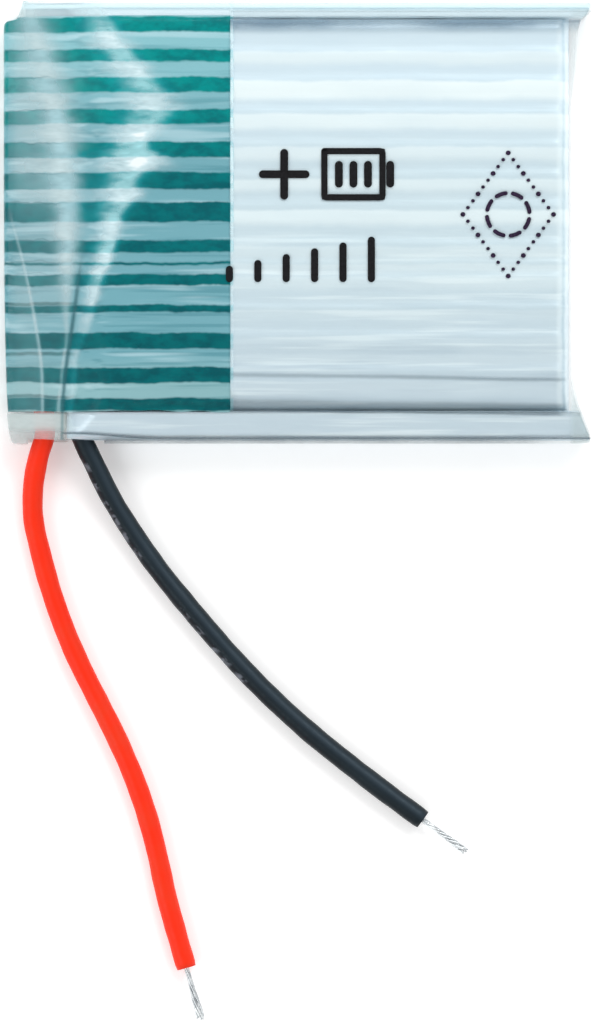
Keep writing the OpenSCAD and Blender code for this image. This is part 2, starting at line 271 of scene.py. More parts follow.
class Material(Nodes):
    """A Principled material that is painted in the object's own coordinates."""

    def __init__(self, name):
        self.material = bpy.data.materials.new(name)
        self.material.use_nodes = True
        super().__init__(self.material.node_tree)
        self.bsdf = self.new("ShaderNodeBsdfPrincipled")
        self.new("ShaderNodeOutputMaterial", {"Surface": self.bsdf.outputs["BSDF"]})
        self.object = self.new("ShaderNodeTexCoord").outputs["Object"]
        self.x, self.y, self.z = self.split(self.object)

    def set(self, name, value):
        self.put(self.bsdf.inputs[name], value)

    def colour(self, factor, a, b, blend="MIX"):
        node = self.new("ShaderNodeMix")
        node.data_type = "RGBA"
        node.blend_type = blend
        for place, value in ((0, factor), (6, a), (7, b)):
            self.put(node.inputs[place], value)
        return node.outputs[2]

    def tinted(self, colour, tint):
        return self.colour(1.0, colour, tint, "MULTIPLY")

    def scaled(self, sx, sy, sz, offset=(0.0, 0.0, 0.0)):
        inputs = {"Vector": self.object, "Scale": (sx, sy, sz), "Location": offset}
        return self.new("ShaderNodeMapping", inputs).outputs[0]

    def noise(self, vector, scale=1.0, detail=2.0, roughness=0.5):
        inputs = {"Vector": vector, "Scale": scale, "Detail": detail, "Roughness": roughness}
        return Value(self, self.new("ShaderNodeTexNoise", inputs).outputs[0])

    def bump(self, height, strength, distance):
        inputs = {"Height": height, "Strength": strength, "Distance": distance}
        return self.new("ShaderNodeBump", inputs).outputs[0]

    def attribute(self, name):
        node = self.new("ShaderNodeAttribute")
        node.attribute_name = name
        return Value(self, node.outputs["Fac"])

    def group(self, tree, value):
        node = self.new("ShaderNodeGroup")
        node.node_tree = tree
        self.put(node.inputs[0], value)
        return Value(self, node.outputs[0])


def highest(first, *others):
    for value in others:
        first = first.tree.math("MAXIMUM", first, value)
    return first


def over(veil, *others):
    """Veils laid one on the other."""
    for other in others:
        veil = veil + other - veil * other
    return veil


def band(value, centre, half, soft):
    """1 about the centre, fading out over soft at both sides (mm)."""
    return abs(value - centre * MM).ramp(half + soft, max(half - soft, 0.0))


# ---- leads
LEAD_D = 0.0012
TIP_LENGTH = 0.0032
# The leads' centre lines, from inside the wrap to where the insulation ends
RED_ROUTE = [
    (-0.0151, -0.009, 0.0016), (-0.0149, -0.0108, 0.0016), (-0.0148, -0.0124, 0.0015),
    (-0.0152, -0.0138, 0.0013), (-0.0155, -0.0155, 0.001), (-0.0155, -0.0174, 0.0007),
    (-0.0151, -0.0193, 0.0006), (-0.0145, -0.0215, 0.0006), (-0.0137, -0.0238, 0.0006),
    (-0.0128, -0.0259, 0.0006), (-0.0117, -0.0281, 0.0006), (-0.0106, -0.0303, 0.0006),
    (-0.0096, -0.0326, 0.0006), (-0.0088, -0.0349, 0.0006), (-0.0082, -0.0372, 0.0006),
    (-0.0077, -0.0395, 0.0006), (-0.0071, -0.0417, 0.0006), (-0.0065, -0.0438, 0.0006),
]
BLACK_ROUTE = [
    (-0.0135, -0.009, 0.0016), (-0.0133, -0.0108, 0.0016), (-0.0127, -0.0125, 0.0015),
    (-0.0119, -0.0142, 0.00125), (-0.0109, -0.0162, 0.0009), (-0.0096, -0.0183, 0.00065),
    (-0.0082, -0.0203, 0.0006), (-0.0066, -0.0223, 0.0006), (-0.0049, -0.0243, 0.0006),
    (-0.0031, -0.0263, 0.0006), (-0.0012, -0.0282, 0.0006), (0.0008, -0.03, 0.0006),
    (0.0029, -0.0317, 0.0006), (0.0051, -0.0334, 0.0006), (0.0074, -0.0351, 0.0006),
]
# Worn print on the black lead, and a painted highlight along it, a cool sheen painted into its
# colour: angles round the sleeve in radians
MARK_LENGTH = 0.0007
MARK_FACING = 0.5
MARK_LEAST_COSINE = 0.87
PAINTED_SHEEN_FACING = 1.95
PAINTED_SHEEN_WIDTH = 0.45
# Each row of marks: where it starts along the lead, pitch and count
PRINT_ROWS = ((0.0051, 0.00118, 6), (0.0155, 0.0012, 5))
PRINT_MARKS = [first + pitch * i for first, pitch, count in PRINT_ROWS for i in range(count)]


def insulation_material(name, base, shade, rough, mark=None, painted_sheen=None):
    """Soft PVC; mark colours the worn print, the last colour is a painted highlight on one side."""
    t = Material(name)
    cloudy = t.noise(t.object, 420.0, 3.0)
    fine = t.noise(t.object, 5200.0, 2.0)
    colour = t.colour(cloudy.step(0.35, 0.7), base, shade)
    # Painted highlight: a cool sheen painted along one side
    if painted_sheen is not None:
        colour = t.colour(t.attribute("painted_sheen"), colour, painted_sheen)
        t.set("Specular Tint", (0.72, 0.9, 1.0))
    if mark is not None:
        ink = t.attribute("print_mark") * t.noise(t.object, 2600.0, 3.0).step(0.4, 0.58)
        colour = t.colour(ink * 0.85, colour, mark)
    t.set("Base Color", colour)
    t.set("Roughness", fine.step(0.3, 0.7, rough - 0.06, rough + 0.08))
    t.set("Specular IOR Level", 0.2)
    t.set("Normal", t.bump(fine * 0.4 + cloudy, 0.25, 0.00004))
    return t.material


RED_INSULATION = insulation_material("red_pvc", (0.88, 0.024, 0.002), (0.82, 0.034, 0.006), 0.46)
# The black lead's last colour is a painted highlight along one side
BLACK_INSULATION = insulation_material(
    "black_pvc", (0.003, 0.0056, 0.008), (0.005, 0.0095, 0.013), 0.4, (0.14, 0.16, 0.19),
    (0.024, 0.036, 0.048))


def tin_material():
    t = Material("tinned_strands")
    cloudy = t.noise(t.object, 1900.0, 3.0)
    t.set("Base Color", t.colour(cloudy.step(0.3, 0.7), (0.52, 0.55, 0.57), (0.8, 0.83, 0.84)))
    t.set("Metallic", 0.9)
    t.set("Roughness", cloudy.step(0.3, 0.75, 0.22, 0.42))
    t.set("Normal", t.bump(cloudy, 0.2, 0.00002))
    return t.material


TIN = tin_material()
SLEEVE_SIDES = 28
SLEEVE_STEP = 0.0003
CORE_R = 0.00021
WOBBLE = 0.000006
STRAND_R = 0.000062
STRAND_LAY = 0.000105
STRAND_SIDES = 8
STRAND_ROOT = 0.0009


def lead_sleeve(name, route, node, material, seed, marks=()):
    """Insulation as one closed tube whose cut end is hollow, round the strands."""
    path = catmull(route, SLEEVE_STEP)
    local = np.random.default_rng(seed)
    along = np.linspace(0.0, 1.0, len(path))
    wobble = np.zeros(len(path))
    for turns in (7, 13, 23):
        wobble += np.sin(2 * math.pi * (turns * along + local.random())) * WOBBLE
    radii = [(LEAD_D / 2 + w, LEAD_D / 2 + w * 0.4) for w in wobble]
    radii[-1] = (LEAD_D / 2 - 0.00004, LEAD_D / 2 - 0.00004)
    rings = tube_rings(path, radii, SLEEVE_SIDES)
    inner = []
    for depth, r in ((0, CORE_R + 0.00003), (0, CORE_R), (3, CORE_R)):
        centre = path[-1 - depth]
        inner.append(centre + (rings[-1] - path[-1]) * (r / (LEAD_D / 2)))
    rings = np.concatenate([rings, np.array(inner)])
    faces = tube_faces(len(rings), SLEEVE_SIDES)
    piece = add_mesh(name, rings.reshape(-1, 3), faces, material)
    lengths = np.concatenate([[0.0], np.cumsum(np.linalg.norm(np.diff(path, axis=0), axis=1))])
    lengths = np.concatenate([lengths, np.full(len(inner), lengths[-1])])
    angles = np.linspace(0.0, 2 * math.pi, SLEEVE_SIDES, endpoint=False)
    facing = np.cos(angles - MARK_FACING) > MARK_LEAST_COSINE
    mark = np.zeros((len(rings), SLEEVE_SIDES))
    for start in marks:
        inside = (lengths >= start) & (lengths <= start + MARK_LENGTH)
        mark += inside[:, None] & facing
    point_attribute(piece, "print_mark", np.clip(mark, 0, 1).reshape(-1))
    # Painted highlight: a cool sheen painted along one side of the sleeve
    painted_sheen = np.tile(bell(angles, PAINTED_SHEEN_FACING, PAINTED_SHEEN_WIDTH), (len(rings), 1))
    point_attribute(piece, "painted_sheen", painted_sheen.reshape(-1))
    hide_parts(node)
    return piece, path


def strands(name, route, node, seed, flatten, spread, twist):
    """Stripped end: strands laid in a helix that opens or flattens towards the end."""
    start = np.array(route[-1])
    way = unit(start - np.array(route[-2]))
    side = unit(np.cross(way, [0.0, 0.0, 1.0]))
    up = np.cross(side, way)
    local = np.random.default_rng(seed)
    vertices, faces = [], []
    for k in range(7):
        phase = 2 * math.pi * k / 6 + local.random() * 0.3
        lay = 0.0 if k == 6 else STRAND_LAY
        reach = TIP_LENGTH * (0.93 + 0.07 * local.random())
        path = []
        for t in np.linspace(0.0, 1.0, 40):
            angle = phase + 2 * math.pi * twist * t
            late = smooth(0.4, 0.95, t)
            a = lay * (1.0 + spread * smooth(0.35, 1.0, t)) * math.cos(angle) * (1.0 + flatten * late)
            b = lay * math.sin(angle) * (1.0 - 0.55 * flatten * late)
            path.append(start + way * (-STRAND_ROOT + (reach + STRAND_ROOT) * t) + side * a + up * b)
        radii = [(STRAND_R, STRAND_R)] * len(path)
        rings = tube_rings(np.array(path), radii, STRAND_SIDES)
        faces += tube_faces(len(rings), STRAND_SIDES, len(vertices))
        vertices += list(rings.reshape(-1, 3))
    piece = add_mesh(name, vertices, faces, TIN)
    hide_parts(node)
    return piece


red_sleeve, red_path = lead_sleeve(
    "red_sleeve", RED_ROUTE, "red_lead", RED_INSULATION, 3)
black_sleeve, black_path = lead_sleeve(
    "black_sleeve", BLACK_ROUTE, "black_lead", BLACK_INSULATION, 4,
    PRINT_MARKS)
red_strands = strands("red_strands", RED_ROUTE, "red_lead_tip", 5, 0.9, 0.0, 0.7)
black_strands = strands("black_strands", BLACK_ROUTE, "black_lead_tip", 6, 0.2, 0.35, 1.6)


# ---- the pack's form
# The pack's outlines without tape and film, in mm: across it, along it and from above. Their
# corners are rounded off, and a second point near a corner keeps a long edge straight.
SECTION = [
    (-11.6, 0.1), (-12.3, 0.1), (-12.8, 0.4), (-12.92, 1.0), (-12.92, 2.2), (-12.6, 2.85),
    (-11.1, 3.45), (-9.6, 3.95), (-9.4, 4.0), (11.4, 4.0), (12.0, 3.75), (12.55, 3.4),
    (12.93, 2.9), (12.93, 0.4), (12.4, 0.1), (11.7, 0.1),
]
PROFILE = [
    (-16.1, 0.1), (-16.75, 0.1), (-17.12, 0.5), (-17.2, 1.2), (-17.1, 2.1), (-16.45, 2.55),
    (-13.2, 2.8), (-12.2, 3.3), (-11.4, 3.75), (-10.4, 4.0), (25.0, 4.0), (25.0, 0.1),
    (24.0, 0.1),
]
# Only the corners at the taped end count in this one: its other sides lie outside the two above.
PLAN = [
    (-17.35, 2.0), (-17.35, 11.0), (-17.3, 11.72), (-16.3, 11.85), (-16.1, 12.4), (-15.85, 13.6),
    (25.0, 13.6), (25.0, -13.6), (-15.6, -13.6), (-16.55, -13.3), (-16.8, -12.4), (-17.0, -10.2),
    (-17.2, -5.3),
]
# The tape's dark stripes: centre and half width, from the far side
STRIPES = [
    (11.55, 0.45), (9.72, 0.36), (8.0, 0.44), (6.14, 0.42), (4.2, 0.45), (2.4, 0.49),
    (0.57, 0.58), (-1.47, 0.36), (-2.47, 0.08), (-3.42, 0.32), (-5.11, 0.21), (-6.98, 0.47),
    (-8.98, 0.45), (-10.7, 0.37),
]


def signed_distance(points, polygon):
    """Distance from each 2D point to the polygon's edge, negative inside."""
    p = np.asarray(points, float)
    poly = np.asarray(polygon, float)
    best = np.full(len(p), 1e9)
    inside = np.zeros(len(p), bool)
    for a, b in zip(poly, np.roll(poly, -1, axis=0)):
        e = b - a
        w = p - a
        t = np.clip((w @ e) / (e @ e), 0.0, 1.0)
        best = np.minimum(best, np.linalg.norm(w - t[:, None] * e, axis=1))
        crosses = (a[1] > p[:, 1]) != (b[1] > p[:, 1])
        x = a[0] + (p[:, 1] - a[1]) * e[0] / (e[1] if abs(e[1]) > 1e-12 else 1e-12)
        inside ^= crosses & (p[:, 0] < x)
    return np.where(inside, -best, best)


def chaikin(polygon, rounds):
    """Rounds a polygon by cutting its corners off."""
    p = np.asarray(polygon, float)
    for _ in range(rounds):
        q = np.roll(p, -1, axis=0)
        p = np.stack([0.8 * p + 0.2 * q, 0.2 * p + 0.8 * q], axis=1).reshape(-1, 2)
    return p


class Field:
    """A rounded outline's signed distance, sampled on a grid so that it is quick to read."""

    def __init__(self, polygon, low, high, spacing):
        self.low = np.array(low, float)
        self.spacing = spacing
        self.count = np.ceil((np.array(high) - self.low) / spacing).astype(int) + 1
        u, v = np.meshgrid(*(self.low[i] + spacing * np.arange(self.count[i]) for i in (0, 1)),
                           indexing="ij")
        grid = signed_distance(np.stack([u.ravel(), v.ravel()], 1), chaikin(polygon, 3))
        self.values = grid.reshape(self.count)

    def __call__(self, u, v):
        a = np.clip((u - self.low[0]) / self.spacing, 0, self.count[0] - 1.001)
        b = np.clip((v - self.low[1]) / self.spacing, 0, self.count[1] - 1.001)
        i, j = a.astype(int), b.astype(int)
        fa, fb = a - i, b - j
        g = self.values
        return ((g[i, j] * (1 - fa) + g[i + 1, j] * fa) * (1 - fb)
                + (g[i, j + 1] * (1 - fa) + g[i + 1, j + 1] * fa) * fb)


section_field = Field(SECTION, (-14.5, -1.5), (14.5, 5.5), 0.06)
profile_field = Field(PROFILE, (-18.6, -1.5), (20.0, 5.5), 0.06)
plan_field = Field(PLAN, (-18.6, -14.5), (20.0, 14.5), 0.12)


def soft_max(a, b, k):
    """The larger of two values, rounded over k where they meet."""
    h = np.clip(0.5 + 0.5 * (a - b) / k, 0.0, 1.0)
    return b * (1 - h) + a * h + k * h * (1 - h)


RAY_REACH = 4.0


def form_value(p):
    """About the distance from the bare form's rounded surface, negative inside (mm)."""
    inner = soft_max(section_field(p[:, 1], p[:, 2]), profile_field(p[:, 0], p[:, 2]), 0.25)
    return soft_max(inner, plan_field(p[:, 0], p[:, 1]), 0.25)


def cast(start, way, offset=0.0, value=form_value):
    """Where rays from inside reach the surface on which value is offset."""
    low = np.zeros(len(start))
    high = np.full(len(start), RAY_REACH)
    for _ in range(22):
        mid = 0.5 * (low + high)
        outside = value(start + way * mid[:, None]) > offset
        high = np.where(outside, mid, high)
        low = np.where(outside, low, mid)
    return start + way * (0.5 * (low + high))[:, None]


# Slow waves that make the edges of the stripes run a little out of true
rng = np.random.default_rng(11)
WAVES = [(rng.uniform(0.25, 1.6), rng.uniform(0, 6.28), rng.uniform(-1.2, 1.2)) for _ in range(7)]


def sway(x, y):
    """A slow wave over the face, between -1 and 1."""
    total = np.zeros_like(x)
    for k, phase, lean in WAVES:
        total += np.sin(k * x + phase + lean * y * 2.3) / len(WAVES)
    return total


def contact(x, y):
    """1 where the film lies on the tape or foil under it, 0 where it bridges a valley."""
    yy = y + 0.1 * sway(x, y)
    total = np.zeros_like(x)
    for centre, half in STRIPES:
        total = np.maximum(total, 1.0 - smooth(half - 0.3, half + 0.34, np.abs(yy - centre)))
    return total


# Across the face: the groove at the near side seal, the shoulder beside it, and the gap at the
# far side seal
GROOVE_Y = -10.83
SHOULDER_Y = -9.05
FAR_GAP_Y = 11.55


def relief(p, ribs, fine):
    """How far the face stands off the form (mm): ribs, groove, shoulder, far gap and fine waves."""
    x, y, z = p.T
    face = smooth(2.9, 3.6, z)
    start = smooth(-12.4, -10.0, x)
    height = -ribs * (1.0 - contact(x, y)) * (0.35 + 0.65 * start)
    groove_y = GROOVE_Y + 0.1 * sway(x * 0.8, y * 0)
    shoulder_y = SHOULDER_Y + 0.06 * sway(x, y * 0 + 3)
    gap_y = FAR_GAP_Y + 0.05 * sway(x * 1.7, y * 0 + 5)
    seal = smooth(-11.0, -9.0, x)
    height -= 0.22 * bell(y, groove_y, 0.2) * seal
    height -= 0.05 * bell(y, shoulder_y, 0.1) * seal
    height -= 0.07 * bell(y, gap_y, 0.24) * smooth(-3.6, -3.0, x)
    height += fine * sway(x * 3.1, y * 2.2) * 0.5
    return height * face


BOX_LOW = np.array([-17.2, -12.92, 0.1])
BOX_HIGH = np.array([16.1, 12.93, 4.0])
CORE = 1.5


def box_skin(nx, ny, nz, sides):
    """Points and faces of a box's skin; sides names the faces that it has, such as '-x'."""
    counts = (nx, ny, nz)
    index, points, faces = {}, [], []

    def vertex(key):
        if key not in index:
            index[key] = len(points)
            points.append(BOX_LOW + (BOX_HIGH - BOX_LOW) * np.array(key) / np.array(counts))
        return index[key]

    for side in sides:
        axis = "xyz".index(side[1])
        fixed = counts[axis] if side[0] == "+" else 0
        u, v = [a for a in range(3) if a != axis]
        flip = (side[0] == "+") == (axis == 1)
        for i in range(counts[u]):
            for j in range(counts[v]):
                corner = []
                for di, dj in ((0, 0), (1, 0), (1, 1), (0, 1)):
                    key = [0, 0, 0]
                    key[axis], key[u], key[v] = fixed, i + di, j + dj
                    corner.append(vertex(tuple(key)))
                faces.append(tuple(corner[::-1] if flip else corner))
    return np.array(points), faces


def to_form(points, offset):
    """Moves the skin of the box onto the form grown by offset, along rays from its core."""
    core = np.clip(points, BOX_LOW + CORE, BOX_HIGH - CORE)
    open_end = points[:, 0] >= BOX_HIGH[0] - CORE
    core[open_end, 0] = points[open_end, 0]
    way = unit(points - core)
    return cast(core, way, offset), way


def end_flare(y):
    """How far the free end stands out beyond the middle: the ears of the side seals (mm)."""
    near = np.interp(y, [-12.95, -12.5, -10.65, -9.05], [1.1, 1.1, 0.35, 0.0])
    far = np.interp(y, [6.8, 8.8, 11.2, 11.8, 12.25, 12.95], [0.0, 0.22, 0.36, 0.5, 1.1, 1.1])
    return near + far


def flare(points):
    points = points.copy()
    points[:, 0] += smooth(11.0, 16.1, points[:, 0]) * end_flare(points[:, 1])
    return points


# ---- surface materials
# Painted highlights: bright bands of reflected light painted on the bare foil; centre, half width
# (mm) and strength, from the far side down
SILVER_HIGHLIGHTS = [
    (9.66, 0.26, 0.66), (7.78, 0.44, 1.0), (5.95, 0.34, 0.8), (4.07, 0.28, 0.55),
    (2.24, 0.24, 0.55), (0.34, 0.31, 0.65), (-1.7, 0.26, 0.28), (-2.62, 0.14, 0.34),
    (-3.48, 0.26, 0.3), (-5.35, 0.18, 0.16), (-7.05, 0.18, 0.12), (-7.94, 0.16, 0.14),
    (-9.63, 0.3, 0.1),
]


def stripe_group(name, stripes, upper, lower):
    """A node group that is 1 on lengthwise stripes, given as centre, half width (mm) and
    strength; upper and lower say how soft the two edges are."""
    tree = bpy.data.node_groups.new(name, "ShaderNodeTree")
    tree.interface.new_socket("Y", in_out="INPUT", socket_type="NodeSocketFloat")
    tree.interface.new_socket("Mask", in_out="OUTPUT", socket_type="NodeSocketFloat")
    group = Nodes(tree)
    y = Value(group, group.new("NodeGroupInput").outputs[0])
    masks = []
    for centre, half, strength in stripes:
        top, bottom = centre + half, centre - half
        falling = y.ramp(top + upper, top - upper)
        masks.append(falling * y.ramp(bottom - lower, bottom + upper, 0.0, strength))
    group.new("NodeGroupOutput", {0: highest(*masks)})
    return tree


TEAL_STRIPES = stripe_group("teal_stripes", [(c, h, 1.0) for c, h in STRIPES], 0.08, 0.08)
EDGE_LINES = stripe_group("edge_lines", [(c + h, 0.02, 1.0) for c, h in STRIPES[1:10]], 0.05, 0.05)
LEFT_LINES = [(-4.78, 0.1, 0.9), (-7.72, 0.1, 0.8), (-10.25, 0.1, 0.8)]
LEFT_STRIPES = stripe_group("left_stripes", LEFT_LINES, 0.07, 0.09)
# Bands of painted highlight on the bare foil
FOIL_HIGHLIGHTS = stripe_group("foil_highlights", SILVER_HIGHLIGHTS, 0.11, 0.48)
STRIPE_SWAY = 0.42


def swayed_y(t, amount, length=300.0, across=260.0):
    """The Y coordinate, for stripes whose edges run up to amount (mm) out of true."""
    wave = t.noise(t.scaled(length, across, 1.0), 1.0, 3.0, 0.55)
    ragged = t.noise(t.scaled(1900.0, 700.0, 1.0), 1.0, 2.0, 0.6)
    return t.y + (wave - 0.5 + (ragged - 0.5) * 0.3) * (amount * MM)


def drawn_lines(t, fine=4200.0, offset=(0.0, 0.0, 0.0)):
    """Fine lengthwise lines, as in drawn foil and stretched film."""
    return t.noise(t.scaled(90.0, fine, fine * 0.5, offset), 1.0, 2.0, 0.6)


TEAL_TOP, TEAL_MID, TEAL_LOW = (0.0, 0.25, 0.24), (0.0, 0.145, 0.158), (0.0, 0.122, 0.134)
PALE_TOP, PALE_MID, PALE_LOW = (0.235, 0.495, 0.545), (0.158, 0.368, 0.425), (0.24, 0.44, 0.47)


def teal_material():
    """Tape with dark stripes where it lies on the ribs and pale ones where it bridges them; the
    pale ones are partly the bridged gap and partly painted reflection of light off the rib slopes.
    """
    t = Material("teal_tape_film")
    mottle = t.noise(t.scaled(900.0, 1500.0, 900.0), 1.0, 3.0, 0.6)
    dark = t.colour(t.y.ramp(-9.0, 2.0), TEAL_LOW, TEAL_MID)
    dark = t.colour(t.y.ramp(1.5, 8.0), dark, TEAL_TOP)
    dark = t.colour(mottle.step(0.34, 0.66), dark, t.tinted(dark, (0.72, 0.66, 0.72)))
    pale = t.colour(t.y.ramp(4.0, 10.5), PALE_MID, PALE_TOP)
    pale = t.colour(t.y.ramp(-7.6, -9.4), pale, PALE_LOW)
    lines = drawn_lines(t, 2100.0).step(0.5, 0.66)
    pale = t.colour(lines * 0.62, pale, t.tinted(pale, (0.5, 0.68, 0.7)))
    gleam = drawn_lines(t, 1500.0, (8.0, 2.0, 0.0)).step(0.52, 0.7)
    pale = t.colour(gleam * 0.3, pale, MILKY_PALE)
    y = swayed_y(t, STRIPE_SWAY)
    left = t.group(LEFT_STRIPES, y) * t.x.ramp(-12.6, -13.6)
    mask = highest(t.group(TEAL_STRIPES, y), left)
    # Pale stripes: partly the bridged gap, partly painted reflection of the light
    t.set("Base Color", t.colour(mask, pale, dark))
    t.set("Roughness", mottle.step(0.3, 0.7, 0.3, 0.42))
    t.set("Specular IOR Level", 0.06)
    t.set("Coat Weight", 0.05)
    t.set("Coat Roughness", 0.1)
    t.set("Normal", t.bump(drawn_lines(t) + mottle * 0.5, 0.2, 0.00003))
    return t.material


# Foil colours: far, middle and near, lighter towards the far side as painted light; the colour of
# painted highlights and of the drawn streaks, the seal's colour and the dull mottling
FOIL_HIGH, FOIL_MIDDLE, FOIL_LOW = (0.66, 0.805, 0.88), (0.61, 0.745, 0.8), (0.54, 0.66, 0.725)
FOIL_STREAK_AND_HIGHLIGHT, FOIL_SEAL, FOIL_DULL = (0.84, 0.95, 0.965), (0.6, 0.735, 0.79), (0.93, 0.94, 0.95)


def foil_material(name, banded):
    """Satin laminate foil with painted light; banded adds the painted highlights and shade of the
    ribbed face and its rounded free end.
    """
    t = Material(name)
    mottle = t.noise(t.scaled(160.0, 900.0, 900.0), 1.0, 4.0, 0.6)
    # Painted light: lighter towards the far side, darker towards the near side
    colour = t.colour(t.y.ramp(2.0, 9.0), FOIL_MIDDLE, FOIL_HIGH)
    colour = t.colour(t.y.ramp(-9.5, -2.0), FOIL_LOW, colour)
    colour = t.colour(t.y.ramp(11.7, 12.0), colour, FOIL_SEAL)
    colour = t.colour(mottle.step(0.3, 0.7), colour, t.tinted(colour, FOIL_DULL))
    lower = t.y.ramp(1.0, -3.0, 0.18, 1.0)
    streak = drawn_lines(t, 2200.0).step(0.52, 0.7)
    colour = t.colour(streak * lower * 0.4, colour, FOIL_STREAK_AND_HIGHLIGHT)
    if banded:
        # Painted highlights: bright bands of reflected light along the ribbed face
        mask = t.group(FOIL_HIGHLIGHTS, swayed_y(t, 0.4, 210.0, 180.0))
        fade = t.noise(t.scaled(120.0, 500.0, 1.0), 1.0, 2.0).step(0.25, 0.6, 0.78, 1.0)
        colour = t.colour(mask * fade, colour, FOIL_STREAK_AND_HIGHLIGHT)
        fine = drawn_lines(t, 1300.0, (3.0, 7.0, 0.0)).step(0.55, 0.7)
        colour = t.colour(fine * lower, colour, t.tinted(colour, FOIL_DULL))
        # Painted highlights along the rounded free end, two bright lines with painted shade between
        wave = t.noise(t.scaled(1.0, 420.0, 1.0, (2.0, 0.0, 0.0)), 1.0, 2.0, 0.5)
        end_x = t.x + (wave - 0.5) * (0.22 * MM)
        for centre, half, soft in ((15.34, 0.08, 0.18), (15.76, 0.04, 0.12)):
            colour = t.colour(band(end_x, centre, half, soft) * 0.26, colour, FOIL_STREAK_AND_HIGHLIGHT)
        end_shade = t.tinted(colour, (0.84, 0.88, 0.9))
        colour = t.colour(band(end_x, 15.6, 0.08, 0.06), colour, end_shade)
    t.set("Base Color", colour)
    t.set("Metallic", 0.2)
    t.set("Roughness", mottle.step(0.3, 0.7, 0.3, 0.42))
    t.set("Coat Weight", 0.2)
    t.set("Coat Roughness", 0.1)
    t.set("Normal", t.bump(drawn_lines(t) + mottle, 0.22, 0.00004))
    return t.material


# Where the film over the taped end is painted milky, partly for air trapped under it and partly
# as painted reflection of the light off the curved shoulder and the creases: Y, X, half width
# (mm) and strength down each one. First the creased patch, then the soft ridge left of it, then
# the sharp crease near the nose.
HAZE = [
    (12.9, -11.9, 0.7, 0.3), (11.6, -11.3, 0.85, 0.74), (10.1, -10.2, 0.9, 0.88),
    (9.0, -9.35, 1.05, 0.84), (7.9, -8.7, 1.1, 0.84), (6.8, -8.2, 1.2, 0.88),
    (5.6, -8.6, 1.25, 0.9), (4.5, -9.35, 0.95, 0.96), (3.6, -9.15, 1.5, 1.0),
    (2.6, -9.6, 0.95, 0.92), (1.4, -10.2, 0.9, 0.88), (0.2, -10.6, 0.74, 0.84),
    (-1.1, -10.9, 0.52, 0.86), (-2.5, -11.3, 0.48, 0.84), (-3.9, -11.72, 0.46, 0.76),
    (-5.6, -12.25, 0.38, 0.5), (-7.6, -12.8, 0.28, 0.3), (-9.6, -13.1, 0.24, 0.36),
    (-12.9, -13.3, 0.2, 0.2),
]
RIDGE = [
    (12.9, -15.6, 0.9, 0.4), (12.0, -15.5, 0.95, 0.55), (10.1, -14.9, 0.95, 0.62),
    (8.4, -14.5, 1.1, 0.62), (6.5, -14.1, 1.05, 0.72), (4.5, -13.75, 1.0, 0.72),
    (2.6, -13.55, 0.95, 0.72), (0.8, -13.45, 0.84, 0.72), (-1.2, -13.45, 0.72, 0.72),
    (-3.1, -13.5, 0.5, 0.64), (-4.9, -13.52, 0.28, 0.4), (-6.8, -13.48, 0.14, 0.3),
    (-8.3, -13.7, 0.12, 0.3), (-10.8, -13.95, 0.14, 0.42), (-12.9, -14.1, 0.26, 0.6),
]
CREASE = [
    (12.9, -17.4, 0.1, 0.0), (1.5, -17.1, 0.1, 0.0), (0.2, -16.75, 0.1, 0.34),
    (-2.6, -16.0, 0.1, 0.4), (-5.85, -15.35, 0.11, 0.46), (-8.8, -14.95, 0.11, 0.46),
    (-12.9, -14.9, 0.1, 0.4),
]
# Painted shade: the dark line beside the ridge's lower part
DARK_LINE = [
    (12.9, -12.5, 0.12, 0.0), (-1.0, -12.5, 0.12, 0.0), (-3.0, -12.75, 0.12, 0.3),
    (-4.9, -13.0, 0.12, 0.55), (-6.7, -13.26, 0.12, 0.62), (-8.3, -13.5, 0.11, 0.62),
    (-10.3, -13.7, 0.11, 0.55), (-12.9, -13.78, 0.1, 0.55),
]
# A thin milky veil left of the ridge, by Y
VEIL = [
    (12.9, 0.38), (8.0, 0.42), (5.0, 0.42), (2.8, 0.52), (0.9, 0.3), (-1.0, 0.2), (-3.0, 0.22),
    (-7.0, 0.08), (-12.9, 0.12),
]
MILKY_PALE, MILKY_DARK = (0.71, 0.88, 0.94), (0.42, 0.86, 0.98)
HAZE_CYAN, HAZE_WHITE = (0.52, 0.94, 1.0), (0.9, 0.98, 1.0)
VEIL_PALE, HAZE_PALE = (0.76, 0.95, 0.99), (0.78, 0.96, 1.0)
CORNER_FILM, EAR_FILM, THIN_CYAN = (0.58, 0.66, 0.65), (0.64, 0.74, 0.75), (0.05, 0.66, 0.74)
# Colours of painted shade: in the grooves and gaps, under the far seal, and on the teal
GAP_SHADE, SHADE_BLUE, TEAL_SHADE = (0.1, 0.15, 0.185), (0.2, 0.31, 0.4), (0.01, 0.15, 0.17)


FILM_ENDS = (-0.0135, 0.0135)


def traced(t, rows):
    """Centre, half width (both metres) and strength of a line drawn down the film."""
    centre = t.y.curve(*FILM_ENDS, [(r[0] * MM, r[1] * MM) for r in rows], -0.018, -0.006)
    half = t.y.curve(*FILM_ENDS, [(r[0] * MM, r[2] * MM) for r in rows], 0.0, 0.002)
    strength = t.y.curve(*FILM_ENDS, [(r[0] * MM, r[3]) for r in rows])
    return centre, half, strength


def soft_line(x, line):
    centre, half, strength = line
    return ((x - centre) / half).bell() * strength


